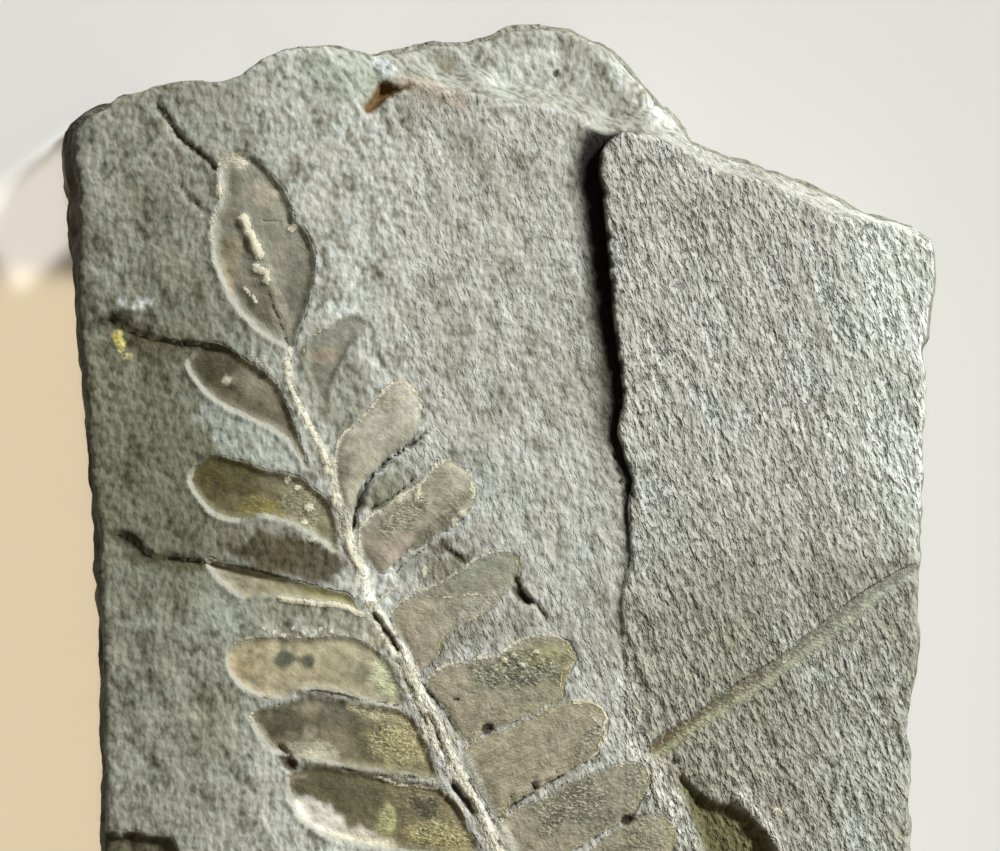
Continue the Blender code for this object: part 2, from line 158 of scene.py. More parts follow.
@dataclass(frozen=True)
class Line:
    """A line on the face through a few points."""

    points: Pairs
    closed: bool = False

    def curve(self, step: float) -> np.ndarray:
        """Evenly spaced points along the smooth curve through the line's points."""
        p = np.array(self.points, float)
        n = len(p)
        spans = n if self.closed else n - 1
        found = []
        for i in range(spans):
            if self.closed:
                a, b, c, d = p[i - 1], p[i], p[(i + 1) % n], p[(i + 2) % n]
            else:
                a, b, c, d = p[max(i - 1, 0)], p[i], p[i + 1], p[min(i + 2, n - 1)]
            for t in np.linspace(0, 1, 12, endpoint=False):
                found.append(0.5 * (2 * b + (c - a) * t + (2 * a - 5 * b + 4 * c - d) * t * t
                                    + (3 * b - a - 3 * c + d) * t ** 3))
        found.append(p[0] if self.closed else p[-1])
        line = np.array(found)
        run = np.concatenate([[0], np.cumsum(np.hypot(*np.diff(line, axis=0).T))])
        at = np.linspace(0, run[-1], max(3, int(round(run[-1] / step))) + 1)
        out = np.column_stack([np.interp(at, run, line[:, 0]), np.interp(at, run, line[:, 1])])
        return out[:-1] if self.closed else out

    def around(self, xy: np.ndarray, margin: float) -> np.ndarray:
        """Indices of the points within the line's box, widened by margin."""
        low = np.min(self.points, axis=0) - margin
        high = np.max(self.points, axis=0) + margin
        return np.flatnonzero(((xy > low) & (xy < high)).all(axis=1))

    def near(self, xy: np.ndarray, step: float = 0.6) -> Near:
        """Where the points lie against the smooth curve."""
        return nearest(xy, self.curve(step), self.closed)

    def depth(self, xy: np.ndarray, step: float = 0.6) -> tuple[np.ndarray, Near]:
        """How deep each point lies inside a closed line, negative outside, and its Near."""
        loop = self.curve(step)
        near = nearest(xy, loop, True)
        return np.where(inside(xy, loop), near.dist, -near.dist), near


def path(*points: Pair) -> Line:
    """An open line through these points."""
    return Line(points)


def ring(*points: Pair) -> Line:
    """A closed line through these points."""
    return Line(points, True)


def nearest(xy: np.ndarray, line: np.ndarray, closed: bool) -> Near:
    """Where points lie against a line of straight pieces.

    Args:
        xy: Points, one row each.
        line: The line's points.
        closed: Whether its last point joins its first.

    Returns:
        The points' Near.
    """
    if closed:
        line = np.vstack([line, line[:1]])
    start, span = line[:-1], np.diff(line, axis=0)
    length = np.hypot(span[:, 0], span[:, 1])
    run = np.concatenate([[0], np.cumsum(length)])
    dist, share = np.empty(len(xy)), np.empty(len(xy))
    away = np.empty((len(xy), 2))
    for low in range(0, len(xy), 6000):
        p = xy[low:low + 6000]
        px, py = p[:, :1] - start[:, 0], p[:, 1:] - start[:, 1]
        t = (px * span[:, 0] + py * span[:, 1]) / np.maximum(length ** 2, 1e-12)
        t = np.clip(t, 0, 1)
        qx, qy = px - t * span[:, 0], py - t * span[:, 1]
        far = qx * qx + qy * qy
        best = far.argmin(axis=1)
        rows = np.arange(len(p))
        d = np.sqrt(far[rows, best])
        part = slice(low, low + len(p))
        dist[part] = d
        share[part] = (run[best] + t[rows, best] * length[best]) / run[-1]
        away[part] = np.column_stack([qx[rows, best], qy[rows, best]]) / np.maximum(d, 1e-9)[:, None]
    return Near(dist, share, away)


def beyond(xy: np.ndarray, line: Line, corners: Pairs) -> np.ndarray:
    """Distance to an open line, positive on the side that the corners close off."""
    run = line.curve(0.5)
    near = nearest(xy, run, False)
    return np.where(inside(xy, np.vstack([run, corners])), near.dist, -near.dist)


def facing(away: np.ndarray, angle: float, spread: float) -> np.ndarray:
    """1 where a direction is within spread degrees of angle, fading to 0 over 30 more."""
    turn = np.degrees(np.arctan2(away[:, 1], away[:, 0])) - angle
    turn = np.abs((turn + 180) % 360 - 180)
    return ease((spread + 30 - turn) / 30)


# --- what the face is painted with ---
class Mark(Enum):
    """A colouring that sits on the stone in patches; its value is its channel."""

    CRUST = 0
    GOLD = 1
    # Besides real carbon, this channel carries the painted shade laid in grooves.
    CARBON_AND_SHADE = 2


class FaceField:
    """The points of the face, their heights and what the material reads there."""

    def __init__(self, xy: np.ndarray) -> None:
        """Starts with a flat bare face.

        Args:
            xy: The points, one row each.
        """
        n = len(xy)
        self.xy = xy
        self.z = np.zeros(n)
        self.film = np.full(n, BARE)
        self.vein = np.zeros((n, 3))
        self.tint = np.tile(STONE_FILM, (n, 1))
        self.edge = np.zeros((n, 3))
        self.marks = np.zeros((n, 3))
        self.ground = np.tile(SHALE, (n, 1))
        self.grain = np.zeros(n)
        self.speckle = np.zeros(n)

    def mark(self, kind: Mark, at: np.ndarray, amount: np.ndarray) -> None:
        """Raises a colouring to at least this amount at the points with these indices."""
        self.marks[at, kind.value] = np.maximum(self.marks[at, kind.value], amount)

    def stain(self, at: np.ndarray, colour: Shown, amount: np.ndarray) -> None:
        """Mixes a colour into the bare stone at the points with these indices."""
        share = amount[:, None]
        self.ground[at] = self.ground[at] * (1 - share) + np.array(linear(*colour)) * share


# --- features of the face ---
@dataclass(frozen=True)
class Wash:
    """A soft area of another colour.

    Attributes:
        at: Its middle.
        radii: Its half-sizes along and across.
        angle: Direction of the first half-size, in degrees from +X.
        colour: What is mixed in.
        amount: How much of it.
        speckle: Amount of fine grit there.
    """

    at: Pair
    radii: Pair
    angle: float
    colour: Shown
    amount: float
    speckle: float = 0.0

    def share(self, xy: np.ndarray) -> np.ndarray:
        """How much of the colour each point gets."""
        ragged = 0.3 * noise(xy, (1.3, 1.3), 0, 81) + 0.22 * noise(xy, (0.6, 0.6), 0, 82)
        return self.amount * ease((1.3 - reach(xy, self.at, self.radii, self.angle) + ragged) / 0.6)

    def mix_into(self, values: np.ndarray, xy: np.ndarray) -> np.ndarray:
        """The colours after the wash is laid over them."""
        share = self.share(xy)[:, None]
        return values * (1 - share) + np.array(linear(*self.colour)) * share

    def lay_on_stone(self, face: FaceField) -> None:
        """Washes the bare stone."""
        face.ground = self.mix_into(face.ground, face.xy)


@dataclass(frozen=True)
class Groove:
    """A crack, slot or scratch."""

    line: Line
    width: float
    depth: float
    dark: float = 0.0

    def cut(self, face: FaceField) -> None:
        """Lowers the face along the line and darkens it with painted shade."""
        at = self.line.around(face.xy, self.width + 0.6)
        near = self.line.near(face.xy[at], 0.3)
        wobble = 0.25 * self.width * noise(face.xy[at], (0.7, 0.7), 0, 11)
        ends = ease(near.share * 9 + 0.15) * ease((1 - near.share) * 9 + 0.15)
        inner = ease(1 - (near.dist + wobble) / self.width) * ends
        face.z[at] -= self.depth * inner
        # The carbon colour in the groove is painted shade, standing for the shade inside the crack.
        if self.dark:
            face.mark(Mark.CARBON_AND_SHADE, at, self.dark * inner)


@dataclass(frozen=True)
class Ridge:
    """A raised seam of stone or crust, lumpy by the share in knots."""

    line: Line
    width: float
    height: float
    mark: Mark | None = None
    amount: float = 0.0
    knots: float = 0.3

    def raise_on(self, face: FaceField) -> None:
        """Lifts the face along the line and marks it."""
        at = self.line.around(face.xy, self.width * 2 + 0.4)
        near = self.line.near(face.xy[at], 0.3)
        lumps = noise(face.xy[at], (0.85, 0.85), 0, 4)
        wide = self.width * (1 + self.knots * lumps)
        ends = ease(near.share * 8 + 0.2) * ease((1 - near.share) * 8 + 0.2)
        body = np.exp(-((near.dist / wide) ** 2)) * ends
        face.z[at] += self.height * body * (1 + 2 * self.knots * lumps)
        if self.mark is not None:
            face.mark(self.mark, at, self.amount * body)


@dataclass(frozen=True)
class Patch:
    """A spot of colour, with soft ends that the material makes ragged."""

    at: Pair
    radii: Pair
    angle: float
    mark: Mark
    amount: float
    lift: float = 0.0

    def lay_on(self, face: FaceField) -> None:
        """Marks the face around the spot, and lifts or lowers it."""
        far = reach(face.xy, self.at, self.radii, self.angle)
        at = np.flatnonzero(far < 1.6)
        body = ease(1.6 - far[at])
        face.mark(self.mark, at, self.amount * body)
        face.z[at] += self.lift * body


@dataclass(frozen=True)
class Edge:
    """What a leaflet's margin has on the side that faces one way.

    Attributes:
        angle: Direction that side faces, in degrees from +X.
        spread: How far either way it reaches.
        crust: Amount of pale mineral grains.
        pale: Amount of pale colour on the smooth slope down into the hollow: a painted highlight where that
            slope faces the light.
        dark: Amount of thin dark line: partly the film's dark rim, partly painted shade in the crevice on
            the side turned from the light.
        contour: Amount of golden lines inside the margin.
        lip: Height of the raised lip.
        gap: Depth of the gap beside the film.
    """

    angle: float
    spread: float
    crust: float = 0.0
    pale: float = 0.0
    dark: float = 0.0
    contour: float = 0.0
    lip: float = 0.0
    gap: float = 0.0


@dataclass(frozen=True)
class Leaflet:
    """One leaflet's film, in its hollow or on its swell of the bedding plane.

    Attributes:
        name: Which leaflet.
        outline: Its margin.
        base: Where it leaves the stalk.
        tip: Its far end.
        level: Height of its floor against the stone around it.
        colour: Film colour at the base.
        far_colour: Film colour at the tip.
        edges: What its margin has on each side.
        washes: Areas of another film colour.
        dome: How much its middle swells.
        sharp: Width of the slope at its margin.
        veins: Strength of its veins.
        film: 1 where the leaf's film is left, 0 for a bare print.
    """

    name: str
    outline: Line
    base: Pair
    tip: Pair
    level: float
    colour: Shown
    far_colour: Shown
    edges: tuple[Edge, ...] = ()
    washes: tuple[Wash, ...] = ()
    dome: float = 0.14
    sharp: float = 0.3
    veins: float = 1.0
    film: float = 1.0

    def press_on(self, face: FaceField) -> None:
        """Shapes the face under the leaflet and lays down its film."""
        at = self.outline.around(face.xy, 1.4)
        xy = face.xy[at]
        s, near = self.outline.depth(xy, 0.4)
        outward = np.where((s > 0)[:, None], -near.away, near.away)
        rough = noise(xy, (0.9, 0.9), 0, 21)
        s = s + 0.08 * rough + 0.04 * noise(xy, (0.45, 0.45), 0, 22)
        lines = np.zeros((len(xy), 3))
        for edge in self.edges:
            side = facing(outward, edge.angle, edge.spread)
            amounts = np.array((edge.dark, edge.contour, edge.pale))
            lines = np.maximum(lines, side[:, None] * amounts)
            lip = np.exp(-(((s + 0.14) / 0.26) ** 2)) * side * (1 + 0.4 * rough)
            face.z[at] += edge.lip * lip
            face.z[at] -= edge.gap * np.exp(-(((s + 0.16) / 0.17) ** 2)) * side
            if edge.crust:
                band = np.exp(-(((s - 0.02) / 0.26) ** 2)) * side
                face.mark(Mark.CRUST, at, edge.crust * band * (1 + 0.35 * rough))
        slope = self.sharp + 0.2 * lines[:, 2]
        film_z = self.level * ease(s / slope) + self.dome * ease(s / 2.2)
        face.z[at] += np.where(s > 0, film_z, 0)
        self.colour_in(face, at, s, lines)

    def colour_in(self, face: FaceField, at: np.ndarray, s: np.ndarray, lines: np.ndarray) -> None:
        """Lays the film's colours where no other leaflet's film lies deeper.

        Args:
            face: The face.
            at: Indices of the points around the leaflet.
            s: How deep those points lie inside the margin.
            lines: Their amounts of dark line, contour and pale slope.
        """
        keep = (s > -0.6) & (s * self.film > face.film[at])
        rows, xy = at[keep], face.xy[at[keep]]
        axis = np.array(self.tip) - np.array(self.base)
        length = float(np.hypot(*axis))
        axis = axis / length
        d = xy - np.array(self.base)
        along = d @ axis
        across = d[:, 1] * axis[0] - d[:, 0] * axis[1]
        tint = fade(self.colour, self.far_colour, np.clip(along / length, 0, 1))
        speckle = np.zeros(len(rows))
        for wash in self.washes:
            tint = wash.mix_into(tint, xy)
            speckle = np.maximum(speckle, wash.speckle * wash.share(xy))
        face.film[rows] = s[keep] if self.film else BARE
        face.edge[rows] = lines[keep]
        face.vein[rows] = np.column_stack([along, across, np.full(len(rows), self.veins)])
        face.tint[rows] = tint
        face.speckle[rows] = speckle


@dataclass(frozen=True)
class Rachis:
    """The frond's stalk: a pale grainy ridge with a thin dark seam along its right side."""

    line: Line
    widths: Pairs = (
        (0, 0.2), (0.12, 0.3), (0.2, 0.5), (0.3, 0.74), (0.42, 0.8), (0.52, 0.76), (0.6, 0.66), (1, 0.8),
    )
    height: float = 0.22
    seam: float = 0.15
    colour: Shown = (234, 232, 216)

    def press_on(self, face: FaceField) -> None:
        """Raises the stalk and marks its crust and its seam."""
        at = self.line.around(face.xy, 3)
        xy = face.xy[at]
        near = self.line.near(xy, 0.5)
        share, width = np.array(self.widths).T
        lumps = noise(xy, (1.0, 1.5), -62, 8)
        wide = np.interp(near.share, share, width) * (1 + 0.22 * lumps)
        body = np.exp(-((near.dist / wide) ** 4))
        knots = 0.3 * noise(xy, (0.6, 1.3), -62, 13) + 0.22 * noise(xy, (0.38, 0.6), -62, 14)
        lift = self.height * np.interp(near.share, (0, 0.2, 0.5), (0.35, 0.6, 1.0)) * (1 + knots)
        face.z[at] += lift * body
        right = facing(near.away, 28, 60)
        seam = np.exp(-(((near.dist - 1.2 * wide) / 0.15) ** 2)) * right
        seam = seam * ease(0.5 + 1.2 * noise(xy, (1.5, 3.5), -62, 15))
        face.z[at] -= self.seam * seam
        face.mark(Mark.CARBON_AND_SHADE, at, 0.6 * seam)
        face.stain(at, self.colour, 0.95 * np.exp(-((near.dist / (1.2 * wide)) ** 6)))
        thin = ease((0.4 - near.share) / 0.1)
        face.mark(Mark.CRUST, at, (0.5 + 0.3 * lumps + 0.1 * thin) * body)
        left = np.exp(-(((near.dist - 1.1 * wide) / 0.2) ** 2)) * facing(near.away, 208, 60)
        face.mark(Mark.GOLD, at, 0.42 * left * (near.share > 0.3))
        face.film[at] = np.minimum(face.film[at], near.dist - 1.1 * wide)


@dataclass(frozen=True)
class Stem:
    """The straight stem's impression: a shallow trough, brown above and pale green below."""

    upper: Pairs
    lower: Pairs
    depth: float = 0.2
    film: tuple[Shown, Shown] = ((104, 95, 68), (155, 155, 120))
    far: tuple[Shown, Shown] = ((150, 153, 141), (176, 182, 168))

    def press_on(self, face: FaceField) -> None:
        """Sinks the trough and lays down its two-tone film."""
        loop = Line(self.upper + self.lower[::-1], True)
        at = loop.around(face.xy, 1.2)
        xy = face.xy[at]
        s, _ = loop.depth(xy, 0.5)
        top = nearest(xy, Line(self.upper).curve(0.5), False)
        low = nearest(xy, Line(self.lower).curve(0.5), False)
        half = top.dist / np.maximum(top.dist + low.dist, 1e-6)
        body = ease(s / 0.4)
        face.z[at] -= self.depth * body * (0.75 + 0.5 * np.sin(half * math.pi))
        inner = s > -0.5
        rows = at[inner]
        face.film[rows] = np.maximum(face.film[rows], s[inner] * 1.2)
        side = ease((half - 0.46) / 0.12)[:, None]
        upper = fade(self.film[0], self.far[0], top.share)
        under = fade(self.film[1], self.far[1], top.share)
        face.tint[rows] = (upper * (1 - side) + under * side)[inner]
        along = np.column_stack([top.share * 30, (half - 0.5) * 2, np.full(len(xy), 0.25)])
        face.vein[rows] = along[inner]
        face.edge[rows] = 0
        face.edge[rows, 0] = (0.8 * (half < 0.5))[inner]
        speck = ease((half - 0.25) / 0.15) * ease((0.62 - half) / 0.15) * (1 - top.share) * (s > 0.1)
        face.mark(Mark.GOLD, at, 0.5 * speck)


@dataclass(frozen=True)
class Hollow:
    """A place where a flake has come off."""

    outline: Line
    depth: float
    slope: float
    colour: Shown
    amount: float = 0.9
    floor: float = 0.5

    def cut(self, face: FaceField) -> None:
        """Lowers the face inside the outline and stains it."""
        at = self.outline.around(face.xy, 1.0)
        xy = face.xy[at]
        s, _ = self.outline.depth(xy, 0.5)
        s = s + 0.18 * noise(xy, (0.9, 1.8), -63, 31)
        deep = np.minimum(self.depth, np.maximum(s, 0) * self.slope)
        face.z[at] -= deep
        face.stain(at, self.colour, self.amount * ease(deep / (self.depth * self.floor)))


@dataclass(kw_only=True)
class Worked:
    """Something with breaks, seams and spots, which are worked into the face one kind after another."""

    hollows: tuple[Hollow, ...] = ()
    ridges: tuple[Ridge, ...] = ()
    grooves: tuple[Groove, ...] = ()
    patches: tuple[Patch, ...] = ()

    def work_into(self, face: FaceField) -> None:
        """Cuts, raises and marks the face."""
        for hollow in self.hollows:
            hollow.cut(face)
        for ridge in self.ridges:
            ridge.raise_on(face)
        for groove in self.grooves:
            groove.cut(face)
        for patch in self.patches:
            patch.lay_on(face)


@dataclass
class Beds:
    """The bedding plane with its beds, steps and broken top end."""

    face_z: float = 20.0
    ledge_h: float = 1.4
    ledge_run: float = 0.2
    bed_drop: float = 3.8
    step_h: float = 0.55
    roll: float = 1.1
    brow: Line = path(
        (-17.1, 54.6), (-14.7, 50.8), (-12.5, 46.8), (-10, 48.4), (-7.5, 49.5), (-5.2, 49.1), (-1.2, 48.4),
        (2.1, 47.5), (5.2, 47.4), (6.9, 46.8), (8.9, 46.2), (10.2, 45), (11.6, 44.4), (14.6, 44.5),
        (19, 43), (21.2, 41.7), (23.4, 40.5), (27.6, 39.5), (31.4, 37.6), (34.6, 36.2), (39.4, 35.4),
        (45.4, 33.6))
    ledge: Line = path(
        (14.6, 44.4), (13.6, 44.6), (12.4, 44.2), (11.6, 43), (11.2, 41.9), (11.1, 40.6), (11.5, 38.6),
        (11.7, 36.8), (12, 33.6), (12.2, 31.2), (12.4, 28.1), (12.9, 23.8), (13.4, 20.1), (13.6, 18.2),
        (13.2, 16), (13, 14.6), (13.5, 13.2), (13.9, 11.4), (14.5, 9.9), (14.1, 7.6), (14.3, 4),
        (14.3, 1.7), (13.5, -1.7), (13.7, -8))
    steps: tuple[Line, ...] = (
        path(
            (-41, 25.6), (-39.4, 25.8), (-37.6, 26.3), (-35.5, 25.1), (-31.4, 24), (-26.6, 23.4),
            (-23.4, 21.8)), path(
            (-39, 4.5), (-36.8, 4.8), (-34.9, 3.8), (-33.4, 2.6), (-28.5, 2), (-24.4, 1.2), (-20, 0.1),
            (-15.8, -0.9)),
    )
    washes: tuple[Wash, ...] = ()

    def lay(self, face: FaceField) -> None:
        """Sets the heights, the bare stone's colour and how sharp its grain is."""
        xy = face.xy
        x, y = xy.T
        z = self.face_z + 0.14 * np.sin(0.11 * x + 0.8) * np.cos(0.09 * y)
        z = z + 0.06 * noise(xy, (5, 5), 0, 1) + 0.035 * noise(xy, (2.2, 2.6), -70, 2)
        z = z - self.roll * ease((-25 - x) / 16) ** 1.3
        past = np.maximum(beyond(xy, self.brow, ((60, 80), (-60, 80))), 0)
        east = ((13.7, -70), (60, -70), (60, 44.4))
        right = beyond(xy, self.ledge, east) + 0.12 * noise(xy, (0.9, 0.9), 0, 3)
        high = np.interp(y, (-14, -6, 2, 10, 20, 32), (0, 0.12, 0.28, 0.5, 0.9, self.ledge_h))
        raised = ease(right / self.ledge_run + 1)
        z = z + high * raised * (1 - ease(past / 1.2))
        z = z - 0.4 * high * (1 - raised) * np.exp(np.minimum(right + self.ledge_run, 0) / 0.5)
        # Painted shadow: a near-black band left of the ledge, where the raised bed's shade falls.
        shade = ease((1 + right / (0.5 + 2.3 * high / self.ledge_h)) * 2.2) * (1 - ease(right / 0.1 + 1))
        shade = shade * ease(high / 0.5) * (1 - ease(past / 0.6))
        for line in self.steps:
            end, start = line.points[-1], line.points[0]
            low = beyond(xy, line, (end, (end[0], -90), (start[0], -90)))
            near = line.near(xy)
            fade = ease(near.share * 6 + 0.3) * ease((1 - near.share) * 3)
            z = z - self.step_h * fade * ease(low / 0.3) * np.exp(-np.maximum(low, 0) / 2.2)
            # Painted shadow: a dark brown band just below each step, where the step's shade falls.
            edge = np.exp(-(((low - 0.4) / 0.7) ** 2)) * fade
            face.stain(np.arange(len(xy)), (58, 52, 36), 0.9 * edge)
        slope = np.interp(x, (-20, -10, -6, 14, 20, 44), (0.42, 0.5, 1.3, 1.7, 1.05, 0.95))
        most = np.interp(x, (-20, -9, -6, 16, 19, 44), (9, 6, self.bed_drop, self.bed_drop, 8, 8))
        rough = 1 + 0.25 * noise(xy, (1.2, 3.0), 20, 5)
        fall = np.minimum(past * slope * rough, most) + 0.1 * np.maximum(past - most / slope, 0)
        face.z = face.z + z - fall
        self.colour(face, right, past, shade)

    def colour(self, face: FaceField, right: np.ndarray, past: np.ndarray,
               shade: np.ndarray) -> None:
        """Paints the bare stone.

        Args:
            face: The face.
            right: Distance onto the right-hand bed.
            past: Distance past the brow.
            shade: Amount of painted shadow at the foot of the ledge, in the band where its shade falls.
        """
        xy = face.xy
        x, y = xy.T
        every = np.arange(len(xy))
        west = ease((-14 - x + 2.5 * noise(xy, (9, 9), 0, 6)) / 15)
        mid = np.exp(-(((y - 11) / 20) ** 2))
        face.stain(every, (113, 113, 92), 0.88 * west * (0.64 + 0.32 * mid))
        face.stain(every, (92, 90, 67), 0.42 * west * mid)
        face.stain(every, (76, 73, 58), 0.5 * ease((-38.2 - x) / 2.6) * (y > 20))
        blue = ease(1 - np.abs(right + 4.2 + noise(xy, (3, 9), -80, 7)) / 3.0) * ease((20 - y) / 12)
        face.stain(every, (186, 190, 184), 0.5 * blue)
        pale = ease(past / 0.35)
        face.stain(every, (152, 153, 142), 0.8 * pale)
        patches = ease((noise(xy, (5, 9), -60, 9) - 0.1) / 0.6)
        face.stain(every, (198, 199, 191), 0.75 * (right > 0))
        face.stain(every, (236, 242, 236), 0.62 * ease((x - 32) / 8) * (right > 0) * (y > 2))
        face.stain(every, (156, 155, 138), 0.78 * ease((12 - y) / 14) * (right > 0))
        face.stain(every, (200, 206, 202), 0.35 * patches * (right > 0))
        for wash in self.washes:
            wash.lay_on_stone(face)
        # Painted shade: a brown band further left of the ledge, the soft edge of its painted shadow.
        beside = ease(1 + (right + 1.6) / 2.2) * (right < 0) * ease((y - 6) / 14) * (past <= 0)
        face.stain(every, (58, 50, 32), 0.85 * beside)
        # Lays the painted shadow of the ledge in near-black.
        face.stain(every, (16, 12, 6), 0.98 * shade)
        bed = ease((right + 0.4) / 0.9)
        near_bed = 0.4 * ease((x + 14) / 8)
        face.grain = np.maximum(bed, near_bed) * (1 - 0.45 * pale) * (1 + 0.4 * ease((4 - y) / 14))
        smooth = ease((past - 2.5) / 2.5) * ease((x - 8) / 4) * (x < 21)
        face.grain = face.grain * (1 - 0.9 * smooth)


@dataclass(kw_only=True)
class Frond(Worked):
    """The fern: its leaflets, its stalk and the seams and spots that belong to them."""

    leaflets: tuple[Leaflet, ...]
    rachis: Rachis

    def press_on(self, face: FaceField) -> None:
        """Shapes and paints the face under the whole fern."""
        for leaflet in self.leaflets:
            leaflet.press_on(face)
            LOG.info("leaflet %s", leaflet.name)
        self.rachis.press_on(face)
        self.work_into(face)


# --- the fern's own sizes ---
# The leaflet at the frond's tip.
TERMINAL_LEAFLET: Leaflet = Leaflet("terminal", ring(
    (-19.6, 23.1), (-20.9, 23.5), (-22.7, 24.6), (-24.4, 26.1), (-25.9, 28.1), (-27, 30.6), (-27.7, 33.1),
    (-27.6, 35.8), (-26.8, 38), (-26.7, 39.4), (-27, 41.2), (-26.1, 42.6), (-25, 43.1), (-23.2, 42.1),
    (-21.7, 40.6), (-20.5, 39.1), (-19.8, 37.6), (-19.4, 36), (-18.4, 35), (-17.6, 33.5), (-17.2, 31.5),
    (-17.5, 29.6), (-18, 27.5), (-19, 25)), (-19.7, 23.2), (-25.6, 42.6), -0.5, (134, 134, 119),
    (141, 141, 125),
    (Edge(212, 42, pale=1, lip=0.12), Edge(165, 18, pale=0.5, crust=0.5, lip=0.1), Edge(110, 30, crust=0.4),
     Edge(-15, 40, dark=0.4)),
    (Wash((-22.7, 38.5), (1.2, 1.8), 80, (182, 168, 150), 0.55),
     # Painted shadow: the two dark washes along the right side of the film stand for the shade under that
     # edge of the hollow.
     Wash((-18.9, 29.5), (3.6, 0.9), 82, (96, 94, 80), 0.75),
     Wash((-18.9, 33.5), (1.6, 0.8), 60, (116, 114, 100), 0.6),
     Wash((-25.9, 31.8), (3.2, 0.9), 82, (168, 152, 124), 0.6),
     Wash((-22.7, 27.5), (2.6, 1.2), -60, (104, 100, 84), 0.7),
     Wash((-25.2, 42), (1.2, 0.9), 0, (206, 200, 180), 0.85, 0.6),
     Wash((-20.5, 26.8), (2.2, 0.5), -72, (180, 172, 152), 0.55),
     Wash((-21.1, 31.8), (1, 2.2), 0, (160, 156, 138), 0.5)),
    dome=0.3, sharp=0.75, veins=0.4)


